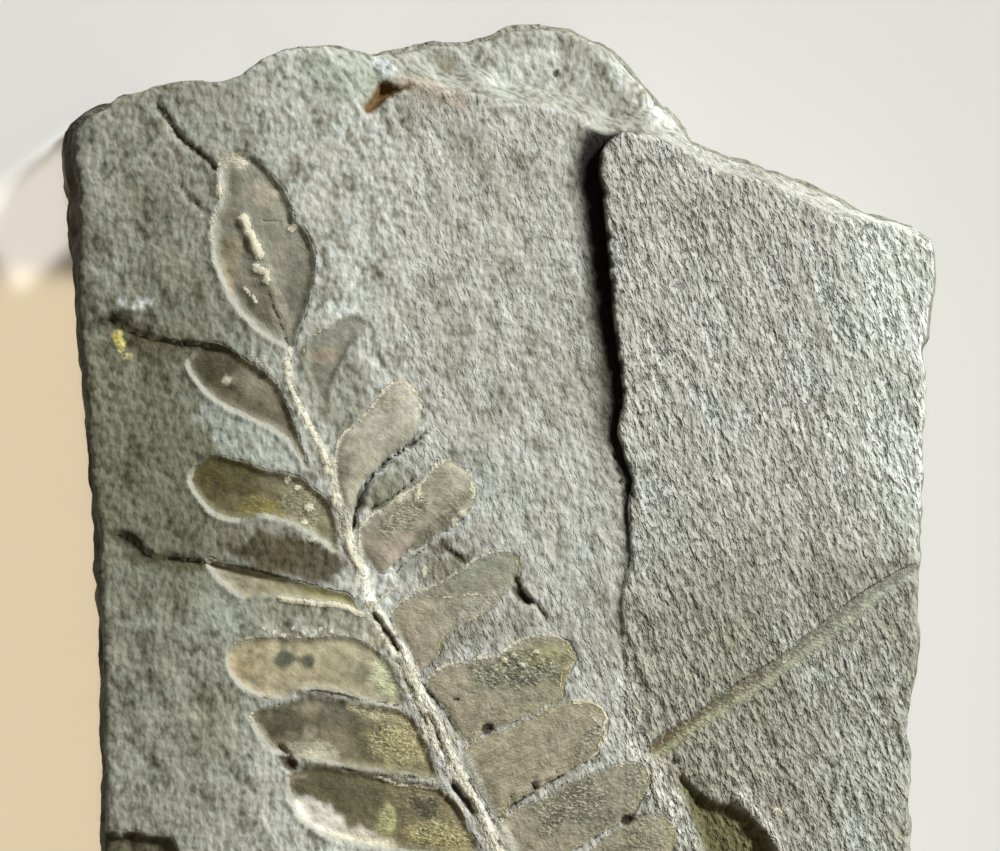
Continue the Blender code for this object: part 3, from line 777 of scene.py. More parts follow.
# The leaflets on the left of the stalk, from the top down.
LEFT_LEAFLETS: tuple[Leaflet, ...] = (
    Leaflet("left_1", ring(
        (-28, 23.8), (-29.9, 22.1), (-30.2, 21.4), (-29.6, 20.1), (-28.7, 19.1), (-27.5, 17.9),
        (-25.7, 16.9), (-23.2, 15.7), (-21, 14.5), (-19.7, 13.2), (-18, 10.9), (-18.9, 14), (-20, 17.1),
        (-21.2, 19.6), (-24.1, 21.9), (-25.7, 22.9)), (-18.6, 12.6), (-30.2, 21.8), -0.42, (122, 116, 98),
        (100, 96, 72),
        (Edge(235, 48, pale=1, lip=0.16), Edge(180, 25, pale=0.7), Edge(50, 40, dark=0.4)),
        # The dark wash under the upper edge is partly the film's dark colour, partly painted shade from
        # that edge.
        (Wash((-27.2, 21.2), (3.8, 2), -28, (74, 71, 50), 0.9),
         Wash((-23.4, 19.4), (2.4, 1.2), -35, (140, 136, 116), 0.6),
         Wash((-20.1, 16.9), (2.6, 1.2), -50, (106, 98, 80), 0.6),
         Wash((-26.2, 19.9), (0.4, 0.4), 0, (196, 192, 174), 0.9)),
        sharp=0.7, veins=0.05),
    Leaflet("left_2", ring(
        (-27.6, 12.4), (-28.9, 11.8), (-29.9, 10.6), (-29.9, 9.4), (-29.2, 8.2), (-28.2, 7), (-26.7, 6.1),
        (-24.9, 5.8), (-22.7, 6.3), (-19.9, 5.5), (-18.2, 4.7), (-16.7, 3.8), (-15.2, 2.8), (-15.2, 5.5),
        (-16.2, 8), (-19.1, 10.2), (-22.2, 10.9), (-25.1, 11.9)), (-15.4, 4.4), (-29.4, 10.4), -0.42,
        (138, 134, 108), (88, 82, 48),
        (Edge(215, 45, pale=1, lip=0.14), Edge(170, 20, pale=0.6), Edge(75, 40, dark=0.3)),
        (Wash((-25.7, 10.2), (3.2, 1.8), -15, (74, 68, 35), 0.85),
         Wash((-22.7, 7.2), (2.8, 1), -6, (124, 114, 62), 0.9, 0.2),
         Wash((-18.1, 7.2), (2.4, 2.2), 0, (142, 138, 112), 0.75, 0.6)),
        sharp=0.7, veins=0.05),
    Leaflet("left_3", ring(
        (-27.9, 2.2), (-28.2, 1.3), (-27, -0.2), (-25.6, -1.3), (-24.2, -2), (-23.1, -1.7), (-21.6, -1.7),
        (-18.9, -2), (-16.7, -2.3), (-14.2, -2.7), (-12.7, -3.7), (-13.8, -1.7), (-16.2, -1), (-19.4, -0.2),
        (-22.7, 0.7), (-25.4, 1.3)), (-13, -3), (-28, 1.6), -0.3, (150, 144, 106), (150, 146, 126),
        (Edge(218, 38, pale=0.8, lip=0.1), Edge(75, 25, dark=0.6)),
        (Wash((-15.3, -1.8), (3.4, 1), -15, (146, 142, 98), 0.8),
         Wash((-21.9, -0.3), (2.6, 0.6), -10, (160, 152, 124), 0.6)),
        sharp=0.7, veins=0.05),
    Leaflet("left_4", ring(
        (-25.1, -6.3), (-26.1, -7.2), (-26.2, -8.5), (-25.6, -9.8), (-24.5, -11), (-23.1, -11.7),
        (-21.2, -12), (-19.9, -11.7), (-18.6, -11), (-15, -11.5), (-12.2, -12.2), (-8.4, -12.8), (-9, -10),
        (-10.2, -8), (-11.7, -6.7), (-13.8, -5.7), (-16.9, -5.7), (-19.9, -5.8), (-22.9, -5.7)),
        (-9, -10.6), (-26.2, -8.2), -0.3, (172, 167, 140), (170, 160, 130),
        (Edge(225, 40, pale=0.95, lip=0.12), Edge(265, 12, dark=0.3), Edge(85, 30, crust=0.5, lip=0.06)),
        (Wash((-25.1, -8.5), (1.4, 1.2), 0, (172, 152, 112), 0.5),
         Wash((-20.4, -8), (1, 0.8), 0, (92, 96, 78), 0.95),
         Wash((-20.4, -6.5), (0.4, 0.7), 0, (110, 110, 88), 0.7),
         Wash((-18.1, -8.2), (0.6, 0.6), 0, (92, 96, 78), 0.95),
         Wash((-19.2, -8), (0.6, 0.2), 0, (110, 112, 92), 0.7),
         Wash((-23.9, -7.3), (0.3, 0.3), 0, (120, 112, 88), 0.8),
         Wash((-23, -7.7), (0.3, 0.2), 0, (120, 112, 88), 0.8),
         Wash((-12.8, -9.2), (0.7, 1.3), -15, (122, 120, 100), 0.7),
         Wash((-10.2, -9.5), (1.4, 2.4), 8, (192, 196, 158), 0.95, 0.5),
         Wash((-10, -6), (2, 0.8), -40, (150, 142, 90), 0.7, 0.6)),
        sharp=0.7, veins=0.05),
    Leaflet("left_5", ring(
        (-23.1, -13), (-23.8, -13.7), (-23.6, -14.7), (-22.7, -16.1), (-21.7, -17.2), (-19.7, -17.8),
        (-17.2, -18.1), (-13.4, -18.9), (-8.9, -19.5), (-5.2, -19.9), (-6.3, -16.5), (-8, -13.5),
        (-12.2, -12.5), (-15, -12), (-18.2, -11.7), (-20.9, -12.5)), (-5.6, -18.4), (-23.8, -13.6), -0.4,
        (134, 128, 98), (124, 118, 98),
        (Edge(215, 32, pale=0.9, lip=0.14), Edge(165, 30, crust=0.5)),
        (Wash((-20.1, -14.2), (3, 1.4), -8, (84, 80, 60), 0.85),
         Wash((-17.1, -12.5), (1.6, 0.7), 0, (150, 144, 124), 0.7),
         Wash((-14.7, -13.5), (2.4, 1.2), 0, (94, 92, 76), 0.75),
         Wash((-12.2, -16.2), (1.6, 2.2), 20, (84, 80, 60), 0.8),
         # Painted highlight: the pale wash along the lower rim, where the hollow's wall faces the light.
         Wash((-17.1, -17.2), (2.8, 0.8), -4, (188, 184, 160), 0.9, 0.4),
         Wash((-17.9, -15.3), (0.6, 0.8), 0, (150, 144, 124), 0.7),
         Wash((-8.7, -16.5), (3.2, 2), -8, (164, 156, 112), 0.8, 1),
         Wash((-11.2, -13.3), (2.6, 0.7), -12, (204, 196, 156), 0.85, 0.8),
         Wash((-7.3, -14), (1.4, 0.9), -40, (110, 104, 72), 0.7, 0.6)),
        sharp=0.7, veins=0.05),
    Leaflet("left_6", ring(
        (-18.9, -18.9), (-20.1, -19.5), (-20.2, -20.6), (-19.8, -22.2), (-18.9, -23.8), (-17.5, -25),
        (-15.5, -25.9), (-13.2, -26.6), (-10.3, -27.1), (-5.8, -27.6), (-1.1, -27.4), (-2.1, -24.5),
        (-3.3, -22.1), (-5.2, -20.5), (-8.8, -19.9), (-13.8, -19.1), (-16.7, -18.6)), (-1.6, -26.2),
        (-20.2, -20.2), -0.42, (128, 120, 88), (98, 92, 70),
        (Edge(225, 55, pale=1, lip=0.16),),
        (Wash((-15.3, -21.6), (4.6, 2.2), -8, (86, 82, 58), 0.75),
         # Painted highlight: the two pale washes along the lower rim, where the hollow's wall faces the
         # light.
         Wash((-16.7, -23.9), (4.2, 1.3), -27, (226, 222, 209), 0.95),
         Wash((-12.7, -26.1), (3.4, 0.9), -8, (210, 204, 182), 0.9, 0.4),
         Wash((-18.9, -19.6), (0.9, 0.4), 10, (160, 150, 122), 0.7),
         Wash((-10.2, -24.2), (1, 1.6), 0, (176, 178, 124), 0.85, 0.6),
         Wash((-6.8, -21.4), (3, 1.2), -14, (120, 112, 80), 0.6, 0.5),
         Wash((-6.4, -22.9), (1.5, 1.2), 0, (74, 74, 58), 0.9),
         Wash((-5.2, -25.6), (3.4, 1.2), -4, (158, 150, 98), 0.8, 1)),
        sharp=0.7, veins=0.05),
    Leaflet("left_7", ring(
        (-15.5, -27.7), (-16.1, -28.7), (-15.5, -30.5), (-13.7, -31.9), (-10.3, -33), (-5.8, -33.4),
        (1.9, -33.6), (0.8, -30.3), (-1.1, -28.5), (-5.8, -28.3), (-10.3, -28), (-13.2, -27.6)),
        (1.4, -32.6), (-16, -29.2), -0.35, (134, 128, 98), (150, 144, 122),
        (Edge(225, 50, pale=0.9, lip=0.12),),
        (Wash((-9, -30.4), (3.4, 1.6), -8, (92, 88, 66), 0.8),
         # Painted highlight: the pale wash along the lower rim, where the hollow's wall faces the light.
         Wash((-12.6, -31.6), (3.2, 0.9), -24, (198, 190, 170), 0.8)),
        sharp=0.7, veins=0.05),
    Leaflet("left_8", ring(
        (-11.7, -34.7), (-12.2, -35.9), (-11.7, -37.5), (-9.7, -39), (-6.3, -39.9), (-1.9, -40.2),
        (5.2, -40), (4.2, -36.8), (2.1, -34.9), (-1.9, -34.5), (-6.8, -34.3)), (4.6, -39.2), (-12.2, -36.2),
        -0.35, (138, 132, 104), (116, 110, 88),
        (Edge(225, 50, pale=0.9, lip=0.12),),
        (Wash((-5, -37.2), (3.4, 1.4), -8, (96, 92, 70), 0.8),),
        sharp=0.7, veins=0.05),
)


# The leaflets on the right of the stalk, swelling over the stone, from the top down.
RIGHT_LEAFLETS: tuple[Leaflet, ...] = (
    Leaflet("right_0", ring(
        (-18.3, 23.4), (-17.1, 24.6), (-15.7, 25.6), (-14.2, 26.4), (-12.9, 26.4), (-12.1, 25.6),
        (-13.1, 24.2), (-13.9, 22.9), (-14.5, 21.8), (-15.1, 20.4), (-15.7, 18.8), (-16.3, 17.2),
        (-17.1, 18), (-17.9, 19.4), (-18.4, 21.4)), (-16.8, 17.4), (-13, 26), -0.3, (123, 121, 104),
        (151, 153, 138),
        (Edge(130, 40, crust=0.55, lip=0.1), Edge(60, 20, crust=0.3)),
        (Wash((-16.2, 22.4), (1.4, 0.7), 15, (166, 150, 130), 0.6),
         Wash((-14.8, 21.2), (2.6, 0.6), 62, (98, 94, 78), 0.7)),
        dome=0.1, sharp=0.7, veins=0.1),
    Leaflet("right_1", ring(
        (-14.9, 8), (-15.2, 10.2), (-15.3, 12.4), (-14.7, 14.3), (-13.4, 15.5), (-11.8, 17.1),
        (-10.8, 18.4), (-9.8, 19.4), (-8.8, 19.8), (-7.5, 19.1), (-6.8, 17.6), (-6.9, 15.6), (-7.7, 14.2),
        (-8.7, 13.1), (-10.2, 12.1), (-11.5, 10.8), (-12.7, 9.4), (-13.3, 7.6), (-13.6, 5.5), (-13.7, 3.9),
        (-14.6, 5.6)), (-14.4, 8.2), (-8.4, 19.6), 0.28, (178, 174, 154), (188, 188, 172),
        (Edge(140, 40, crust=0.8, pale=0.7, lip=0.08), Edge(50, 40, crust=0.8, dark=0.2, lip=0.06),
         Edge(-45, 40, dark=0.7, gap=0.45)),
        (Wash((-9, 14), (2.6, 0.8), 52, (160, 160, 142), 0.6),
         Wash((-9.7, 17.9), (1.2, 1), 0, (176, 174, 150), 0.6, 0.5),
         Wash((-13.7, 11.2), (1.4, 0.9), 80, (164, 158, 136), 0.6)),
        dome=0.3, sharp=0.5, veins=0.3),
    Leaflet("right_2", ring(
        (-12.8, 3.3), (-12.8, 5.2), (-11.8, 6.3), (-10.4, 7.2), (-9.2, 8.1), (-7.9, 8.9), (-6.8, 9.6),
        (-5.8, 10.8), (-4.8, 11.7), (-3.9, 11.9), (-2.5, 11.2), (-1.6, 9.9), (-1.5, 8.2), (-2.6, 6.2),
        (-4.7, 4.8), (-6.4, 3.6), (-8.3, 2.6), (-9.7, 1.3), (-10.8, 0.6), (-12, 1.8)), (-12, 2.4),
        (-2.6, 11), 0.22, (163, 156, 138), (167, 164, 144),
        (Edge(135, 32, crust=0.85, lip=0.08), Edge(40, 45, crust=0.7, pale=0.6, dark=0.3),
         Edge(195, 20, pale=0.8), Edge(-60, 30, dark=0.6, gap=0.3)),
        (Wash((-8.7, 6.3), (3, 1.2), 38, (136, 134, 114), 0.7, 1),
         Wash((-4.2, 6.8), (1.8, 0.7), 30, (140, 138, 118), 0.6, 0.7),
         Wash((-9.8, 3.2), (2.2, 1.2), 40, (176, 164, 148), 0.7, 0.2),
         Wash((-3.3, 8), (1.5, 0.9), 20, (122, 120, 100), 0.6, 0.5),
         Wash((-5.8, 4.8), (2.2, 0.8), 40, (116, 112, 94), 0.65, 0.3),
         Wash((-8.3, 8), (1.2, 0.7), 40, (180, 178, 158), 0.6)),
        dome=0.25, sharp=0.5, veins=0.1),
    Leaflet("right_3", ring(
        (-9, -6), (-9.7, -4), (-9.3, -2.7), (-7.9, -1.7), (-5.8, -0.7), (-3.3, 0.6), (-1.6, 1.8),
        (-0.1, 2.6), (1.6, 2.8), (3, 2.6), (3.2, 1.2), (2.5, -0.7), (1.3, -1.7), (0.1, -3), (-1.5, -4),
        (-3.3, -4.8), (-4.2, -6), (-5.2, -7.7), (-6.4, -8.8), (-7.7, -8.2)), (-8.6, -6.2), (2.8, 2.4),
        -0.06, (164, 156, 134), (146, 148, 132),
        (Edge(125, 35, crust=0.75, lip=0.06), Edge(200, 30, pale=0.7, dark=0.2),
         Edge(15, 30, contour=0.9, dark=0.4), Edge(-60, 30, dark=0.35)),
        (Wash((-7.7, -3.8), (3.4, 2), 70, (170, 160, 138), 0.75),
         Wash((-2.4, 0.8), (3.4, 1.8), 32, (140, 144, 128), 0.8),
         Wash((-5.1, -1.2), (2.6, 0.8), 10, (138, 138, 118), 0.6, 0.4),
         Wash((-1.1, -3), (3, 1.4), 40, (176, 176, 160), 0.7, 0.8)),
        sharp=0.22, veins=0.4),
    Leaflet("right_4", ring(
        (-5.7, -11.5), (-6.1, -10.2), (-5.4, -9.2), (-4.1, -8.5), (-2.5, -8.2), (-0.7, -7.8), (0.8, -7.7),
        (1.9, -6.8), (3.4, -6), (5.2, -5.5), (6.9, -5.7), (8.2, -6.5), (8.7, -8), (8.1, -9.3), (7.4, -10.8),
        (7.3, -11.8), (5.6, -12.7), (3.1, -14), (1.3, -14.7), (-0.7, -15.3), (-2.1, -16.1), (-3.3, -15),
        (-4.4, -13.2)), (-4.8, -12.4), (8.4, -7.6), 0.08, (162, 154, 132), (150, 148, 124),
        (Edge(110, 35, crust=0.75, lip=0.06), Edge(190, 30, pale=0.7, dark=0.4),
         Edge(5, 45, contour=1, dark=0.7), Edge(-65, 30, dark=0.8, gap=0.12)),
        (Wash((2.3, -9.2), (4.6, 1.8), 6, (112, 116, 98), 0.85, 1),
         Wash((5.9, -7.5), (2.4, 1), 5, (150, 148, 104), 0.6, 0.5),
         Wash((7.3, -9.5), (0.9, 1.4), 0, (128, 124, 98), 0.7, 0.5),
         Wash((6.7, -12.5), (1.6, 1), 20, (160, 154, 126), 0.7, 0.5),
         Wash((-3.6, -10), (2.4, 1.4), 20, (172, 162, 142), 0.6)),
        sharp=0.3, veins=0.5),
    Leaflet("right_5", ring(
        (-2.1, -19.1), (-2.6, -17.6), (-1.9, -16.5), (-0.5, -15.8), (2.1, -14.7), (4.5, -13.7),
        (6.1, -12.8), (7.7, -12.2), (9.3, -12.2), (10.8, -12.5), (11.8, -13.7), (11.8, -15), (11.1, -16.5),
        (10.7, -17.6), (8.8, -18.6), (7.4, -19.5), (5.8, -20.4), (3.9, -21.6), (2.2, -22.5), (1.1, -23.8),
        (-0.2, -22.4), (-1.2, -20.8)), (-1, -20.4), (11.6, -14.2), 0.1, (168, 160, 136), (160, 154, 132),
        (Edge(115, 30, contour=0.4, crust=0.4), Edge(195, 35, pale=0.9, dark=0.4),
         Edge(15, 45, contour=1, dark=0.8), Edge(-62, 30, dark=1, gap=0.14)),
        (Wash((10.2, -15.8), (3, 0.8), 55, (136, 134, 118), 0.7, 0.8),
         Wash((-1.6, -19.2), (3.8, 0.55), -66, (224, 222, 206), 0.9),
         Wash((3.1, -16.5), (4, 0.6), 28, (152, 140, 110), 0.4)),
        dome=0.28, sharp=0.3, veins=1.3),
    Leaflet("right_6", ring(
        (1.2, -25.9), (1, -24.6), (2.5, -23.2), (3.9, -22.5), (5.9, -21.8), (7.4, -20.6), (9.2, -19.8),
        (11.1, -19.1), (12.8, -18.6), (14.6, -18.4), (15.8, -19.1), (16.1, -20.5), (15.2, -22.1),
        (14.2, -23.8), (12.2, -24.8), (10.6, -25.8), (8.3, -27.2), (5.9, -28.9), (4.2, -30.2),
        (2.5, -28.2)), (2.4, -27.4), (15.8, -19.6), 0.06, (160, 152, 132), (142, 140, 122),
        (Edge(110, 30, crust=0.55, dark=0.5), Edge(190, 30, pale=0.8), Edge(0, 45, contour=0.6, dark=0.9),
         Edge(-62, 30, dark=0.8, gap=0.12)),
        (Wash((3.1, -23.2), (2.6, 1.6), 20, (170, 162, 140), 0.8),
         Wash((1.8, -25.9), (2.6, 0.6), -62, (224, 222, 206), 0.9),
         Wash((8.3, -22.6), (4.6, 2.2), 32, (114, 114, 95), 0.8, 1),
         Wash((12.3, -20.6), (2.4, 1.4), 40, (150, 146, 128), 0.7, 0.3),
         Wash((11.2, -24.1), (2.6, 0.8), 35, (122, 120, 104), 0.6, 0.6)),
        sharp=0.25, veins=0.3),
    Leaflet("right_7", ring(
        (4.7, -32.6), (4.3, -31.4), (5.9, -30.1), (8.3, -28.6), (10.2, -27.2), (11.8, -25.8), (14.2, -24.1),
        (16.3, -23.5), (17.9, -24), (18.8, -25.4), (18.3, -27.4), (16.6, -29.2), (14.3, -30.6),
        (11.8, -32.2), (9.3, -34.1), (7.6, -35.6), (5.9, -34.2)), (6, -33.6), (18.6, -25), 0.06,
        (158, 150, 130), (150, 146, 124),
        (Edge(110, 30, crust=0.4, dark=0.4), Edge(0, 45, contour=0.7, dark=0.9),
         Edge(-62, 30, dark=0.8, gap=0.12)),
        (Wash((12, -28.6), (4.4, 2), 35, (136, 134, 114), 0.7, 0.8),),
        sharp=0.25, veins=0.4),
    Leaflet("right_8", ring(
        (7.8, -39.2), (7.3, -38.1), (9.2, -36.6), (11.8, -35.2), (14.6, -33.5), (17.1, -32), (19.5, -31.1),
        (21.5, -31.5), (22.3, -32.9), (21.8, -34.9), (19.9, -36.6), (17.1, -38.2), (14.6, -40.1),
        (12, -41.9), (10.3, -43.1), (8.9, -41.2)), (9, -40.6), (22, -32.2), 0.06, (154, 148, 128),
        (148, 144, 124),
        (Edge(110, 30, crust=0.4, dark=0.4), Edge(0, 45, contour=0.6, dark=0.9),
         Edge(-62, 30, dark=0.8, gap=0.1)),
        (Wash((15, -36.2), (4.4, 2), 35, (138, 136, 116), 0.7, 0.8),),
        sharp=0.25, veins=0.6),
)


def fern() -> Frond:
    """The frond as it lies on the slab."""
    dark_stone = (70, 62, 44)
    grains = (
        ((-18, 7.2), (0.45, 0.42)), ((-18.4, 5.7), (0.4, 0.26)), ((-20.2, 9.9), (0.3, 0.34)),
        ((-19.1, 9.2), (0.5, 0.2)), ((-27, 38.9), (0.36, 0.6)), ((-19.6, 35.1), (0.5, 0.32)),
        ((-20.2, 21.4), (0.36, 0.5)), ((-20, 20.1), (0.44, 0.6)), ((-19.6, 18.8), (0.24, 0.3)),
        ((-16.5, 12.4), (0.36, 0.8)), ((-16.2, 10.9), (0.36, 0.4)), ((-15.5, 8), (0.4, 0.6)),
        ((-7, 8.9), (0.22, 0.7)), ((-8.9, 8.1), (0.26, 0.5)), ((-7.3, 8.2), (0.24, 0.4)),
        ((-2.6, 6.6), (0.5, 0.3)), ((-3.4, 5.7), (0.3, 0.5)), ((-1.6, 9.2), (0.22, 0.6)),
        ((-6.4, 0.8), (0.26, 0.6)), ((-15.7, 11.8), (0.3, 0.5)), ((-17.6, 4), (0.5, 0.24)),
        ((1.6, -8), (0.4, 0.26)), ((2.5, -7.5), (0.3, 0.24)), ((3.4, -8.5), (0.34, 0.3)),
        ((0.7, -9), (0.3, 0.22)), ((-0.9, -7.8), (0.3, 0.3)), ((4.8, -7.2), (0.4, 0.2)),
    )
    flecks = ((-8.4, -9.2), (-7.7, -11), (-6.3, -14), (-4.8, -16.5), (-3.9, -18.2), (-2.1, -22.1))
    notches = ((2.5, -22.1), (3.4, -21.5), (4.5, -20.8), (5.8, -20), (6.8, -19.4))
    return Frond(
        leaflets=(TERMINAL_LEAFLET, *LEFT_LEAFLETS, *RIGHT_LEAFLETS),
        rachis=Rachis(path(
            (-19.9, 23.1), (-20.1, 20.8), (-19.5, 18.4), (-18.1, 15.7), (-17, 13.4), (-16.2, 11.4),
            (-15.5, 9.4), (-14.8, 6.8), (-13.7, 3.5), (-12.8, 0.5), (-11.8, -2.5), (-10.2, -5.2),
            (-8.4, -8.2), (-7.3, -10.7), (-6.2, -13.2), (-4.3, -17.1), (-2.4, -20.6), (-0.4, -24.1),
            (1.1, -27.6), (4.2, -33.6), (7.3, -39.6), (10.2, -45.6), (12.3, -50.9))),
        ridges=(
            Ridge(path((1.8, -22.2), (3, -21.6), (4.3, -20.8), (5.7, -20), (6.8, -19.1)), 0.45, 0.3,
                knots=0.5),
            Ridge(path(
                (7.3, -12.5), (8.8, -12.2), (10.2, -12.2), (11.1, -12.8), (11.8, -13.8), (11.5, -14.7),
                (11.7, -15.7), (11, -16.9), (10.3, -17.9), (8.8, -19)), 0.16, 0.16, Mark.CRUST, 1.3, 0.5),
            Ridge(path((10, -12.8), (10.7, -14), (11.2, -14.7), (11, -15.7)), 0.14, 0.1, Mark.CRUST, 1,
                0.4),
            Ridge(path((-24.8, 36.8), (-24.2, 35.4), (-23.6, 34), (-23, 32.8), (-22.7, 31.8)), 0.62, 0.32,
                Mark.CRUST, 1, 0.6),
            Ridge(path((-23.2, 31.8), (-23.2, 31), (-22.2, 30.8), (-22.1, 30), (-22.8, 29.6)), 0.42, 0.26,
                Mark.CRUST, 0.9, 0.5),
            Ridge(path((-24.8, 29.2), (-24, 28.9), (-23.4, 28), (-23.1, 27.5)), 0.3, 0.2, Mark.CRUST, 0.85,
                0.5),
            Ridge(path((-24.2, 22.9), (-23.5, 22.1), (-22.5, 21.4), (-21.8, 20.6)), 0.4, 0.24, Mark.CRUST,
                0.6, 0.6),
            Ridge(path(
                (-21.6, -1.7), (-20.4, -2), (-18.9, -2.2), (-16.7, -2.5), (-15.5, -2.5), (-14.2, -2.8),
                (-13.2, -3.3), (-12.2, -3.8)), 0.26, 0.2, Mark.CRUST, 1.6, 0.15),
            Ridge(path((-12.2, -2.8), (-11, -2), (-9.9, -1.2), (-8.9, -0.3)), 0.22, 0.25, Mark.CRUST, 0.9,
                0.2),
            Ridge(path(
                (-12, -19.6), (-10.4, -20), (-8.8, -20.6), (-6.4, -20.8), (-4.8, -21.1), (-2.9, -22.6),
                (-2.1, -23.9)), 0.2, 0.22, Mark.CRUST, 0.9, 0.2),
            Ridge(path((-5.1, -1.7), (-3.9, -1.7), (-2.4, -1.5), (-0.9, -1.5), (0.7, -1.8)), 0.13, 0.08,
                Mark.CRUST, 0.75, 0.3),
            Ridge(path((-14.4, 4), (-13.8, 2.8), (-13.2, 1.6), (-12.7, 0.6)), 0.2, 0.22, Mark.CRUST, 0.95,
                0.1),
            Ridge(path((-12.9, 4.6), (-12.8, 3.5), (-12.7, 2.3)), 0.18, 0.2, Mark.CRUST, 0.8, 0.2),
            Ridge(path((5.8, -6.5), (6.8, -6.8), (7.4, -7.5), (7.7, -8.8), (7.2, -10.2)), 0.13, 0.07,
                Mark.GOLD, 0.9, 0.4),
        ),
        grooves=(
            Groove(path((-22.1, 28.8), (-21.4, 27), (-20.6, 25), (-19.9, 22.8)), 0.26, 0.16, 0.75),
            Groove(path((-23.1, 35.8), (-21.7, 35.9), (-20.2, 35.8), (-19.1, 35.5)), 0.2, 0.14, 0.7),
            Groove(path((-11.8, -3.2), (-11, -4.2), (-10, -5.7), (-8.9, -7.5)), 0.55, 0.6, 1),
            Groove(path((-6.4, -13.2), (-5.4, -14.8), (-4.8, -16.5), (-4.2, -18.2)), 0.4, 0.4, 0.85),
            Groove(path((-3.9, -20.4), (-3.1, -21.2), (-2.2, -22.4), (-1.4, -23.6)), 0.6, 0.6, 1),
            Groove(path(
                (-5.8, 15.8), (-6.4, 14.7), (-7.4, 13.7), (-8.8, 12.8), (-10.3, 11.6), (-11.8, 10.2),
                (-12.5, 8.8), (-13.2, 7.2), (-13.5, 5.5), (-13.7, 4)), 0.42, 0.5, 0.75),
            Groove(path((-12.2, 6.6), (-11, 7.5), (-9.7, 8.2), (-8.4, 9.2), (-7.4, 10.2)), 0.34, 0.4, 0.8),
            Groove(path((-5.1, 4), (-6.8, 2.8), (-8.7, 1.3), (-9.8, -0)), 0.28, 0.25, 0.7),
            Groove(path((-3.9, -12.3), (-3.4, -12), (-2.8, -12)), 0.26, 0.25, 1),
            Groove(path(
                (-18.6, -11.2), (-16.9, -11.2), (-14.8, -11.5), (-12.8, -12), (-10.3, -12.3), (-8.2, -13)),
                0.2, 0.3, 0.9),
            Groove(path((-22.7, -11.7), (-21.8, -12.2), (-20.7, -12.7)), 0.22, 0.2, 0.8),
            Groove(path((-15.8, -18.5), (-13.8, -19.1), (-11.7, -19.6), (-8.8, -19.6), (-6.1, -19.9)), 0.26,
                0.25, 0.75),
            *(Groove(path((x - 0.3, y + 0.5), (x + 0.1, y), (x + 0.2, y - 0.6)), 0.13, 0.2, 1)
              for x, y in notches),
            Groove(path((0.8, -24.8), (0.9, -25.9), (1.3, -27.1)), 0.2, 0.2, 0.8),
            Groove(path((-7.7, -7.7), (-6.2, -11), (-4.8, -12.7), (-3.6, -14.7), (-2.6, -16.5)), 0.24, 0.24,
                0.8),
            Groove(path((-9.2, -7.8), (-8.5, -9.7), (-7.8, -11.3), (-6.8, -13.2), (-5.7, -15.5)), 0.2, 0.2,
                0.7),
            Groove(path((-2.2, -19.6), (-1.5, -20.9), (-0.7, -22.4), (0.3, -23.8), (1, -25.2)), 0.2, 0.24,
                0.8),
        ),
        hollows=(
            Hollow(ring((-5.3, 4), (-4.1, 3.6), (-3.1, 2.7), (-2.1, 1.7), (-3.4, 2), (-4.6, 2.8)), 0.4, 1.2,
                dark_stone),
            Hollow(ring((2.2, -0.3), (2.8, -0.7), (3.5, -1.5), (4.3, -2.5), (3.2, -2.3), (2.5, -1.5)), 0.6,
                2.2, dark_stone),
            Hollow(ring(
                (-21.2, -16.5), (-20.2, -16.8), (-19.5, -17.8), (-19.2, -18.9), (-20.1, -19.1),
                (-21, -18.1)), 0.7, 2, (58, 42, 24)),
        ),
        patches=(
            *(Patch(at, radii, 0, Mark.CRUST, 1, 0.16) for at, radii in grains),
            Patch((-24.2, 34.8), (0.3, 0.4), 0, Mark.GOLD, 0.7),
            *(Patch((-22.4 + 0.95 * k, -4.9 - 0.35 * (k % 3)), (0.4, 0.24), 40 * k, Mark.CRUST, 0.75, 0.1)
              for k in range(9)),
            *(Patch(at, (0.5, 0.3), 60, Mark.GOLD, 0.8) for at in flecks),
            Patch((-0.1, -15), (0.6, 0.5), 20, Mark.CARBON_AND_SHADE, 1, -0.4),
            Patch((13.8, -24.1), (0.6, 0.45), 20, Mark.CARBON_AND_SHADE, 1, -0.4),
            Patch((-8.4, -16.2), (2.8, 2), -8, Mark.GOLD, 0.6),
            Patch((-5.2, -25.6), (3.2, 1.2), -4, Mark.GOLD, 0.62),
            Patch((-10, -6), (1.8, 0.8), -40, Mark.GOLD, 0.5),
        ),
    )


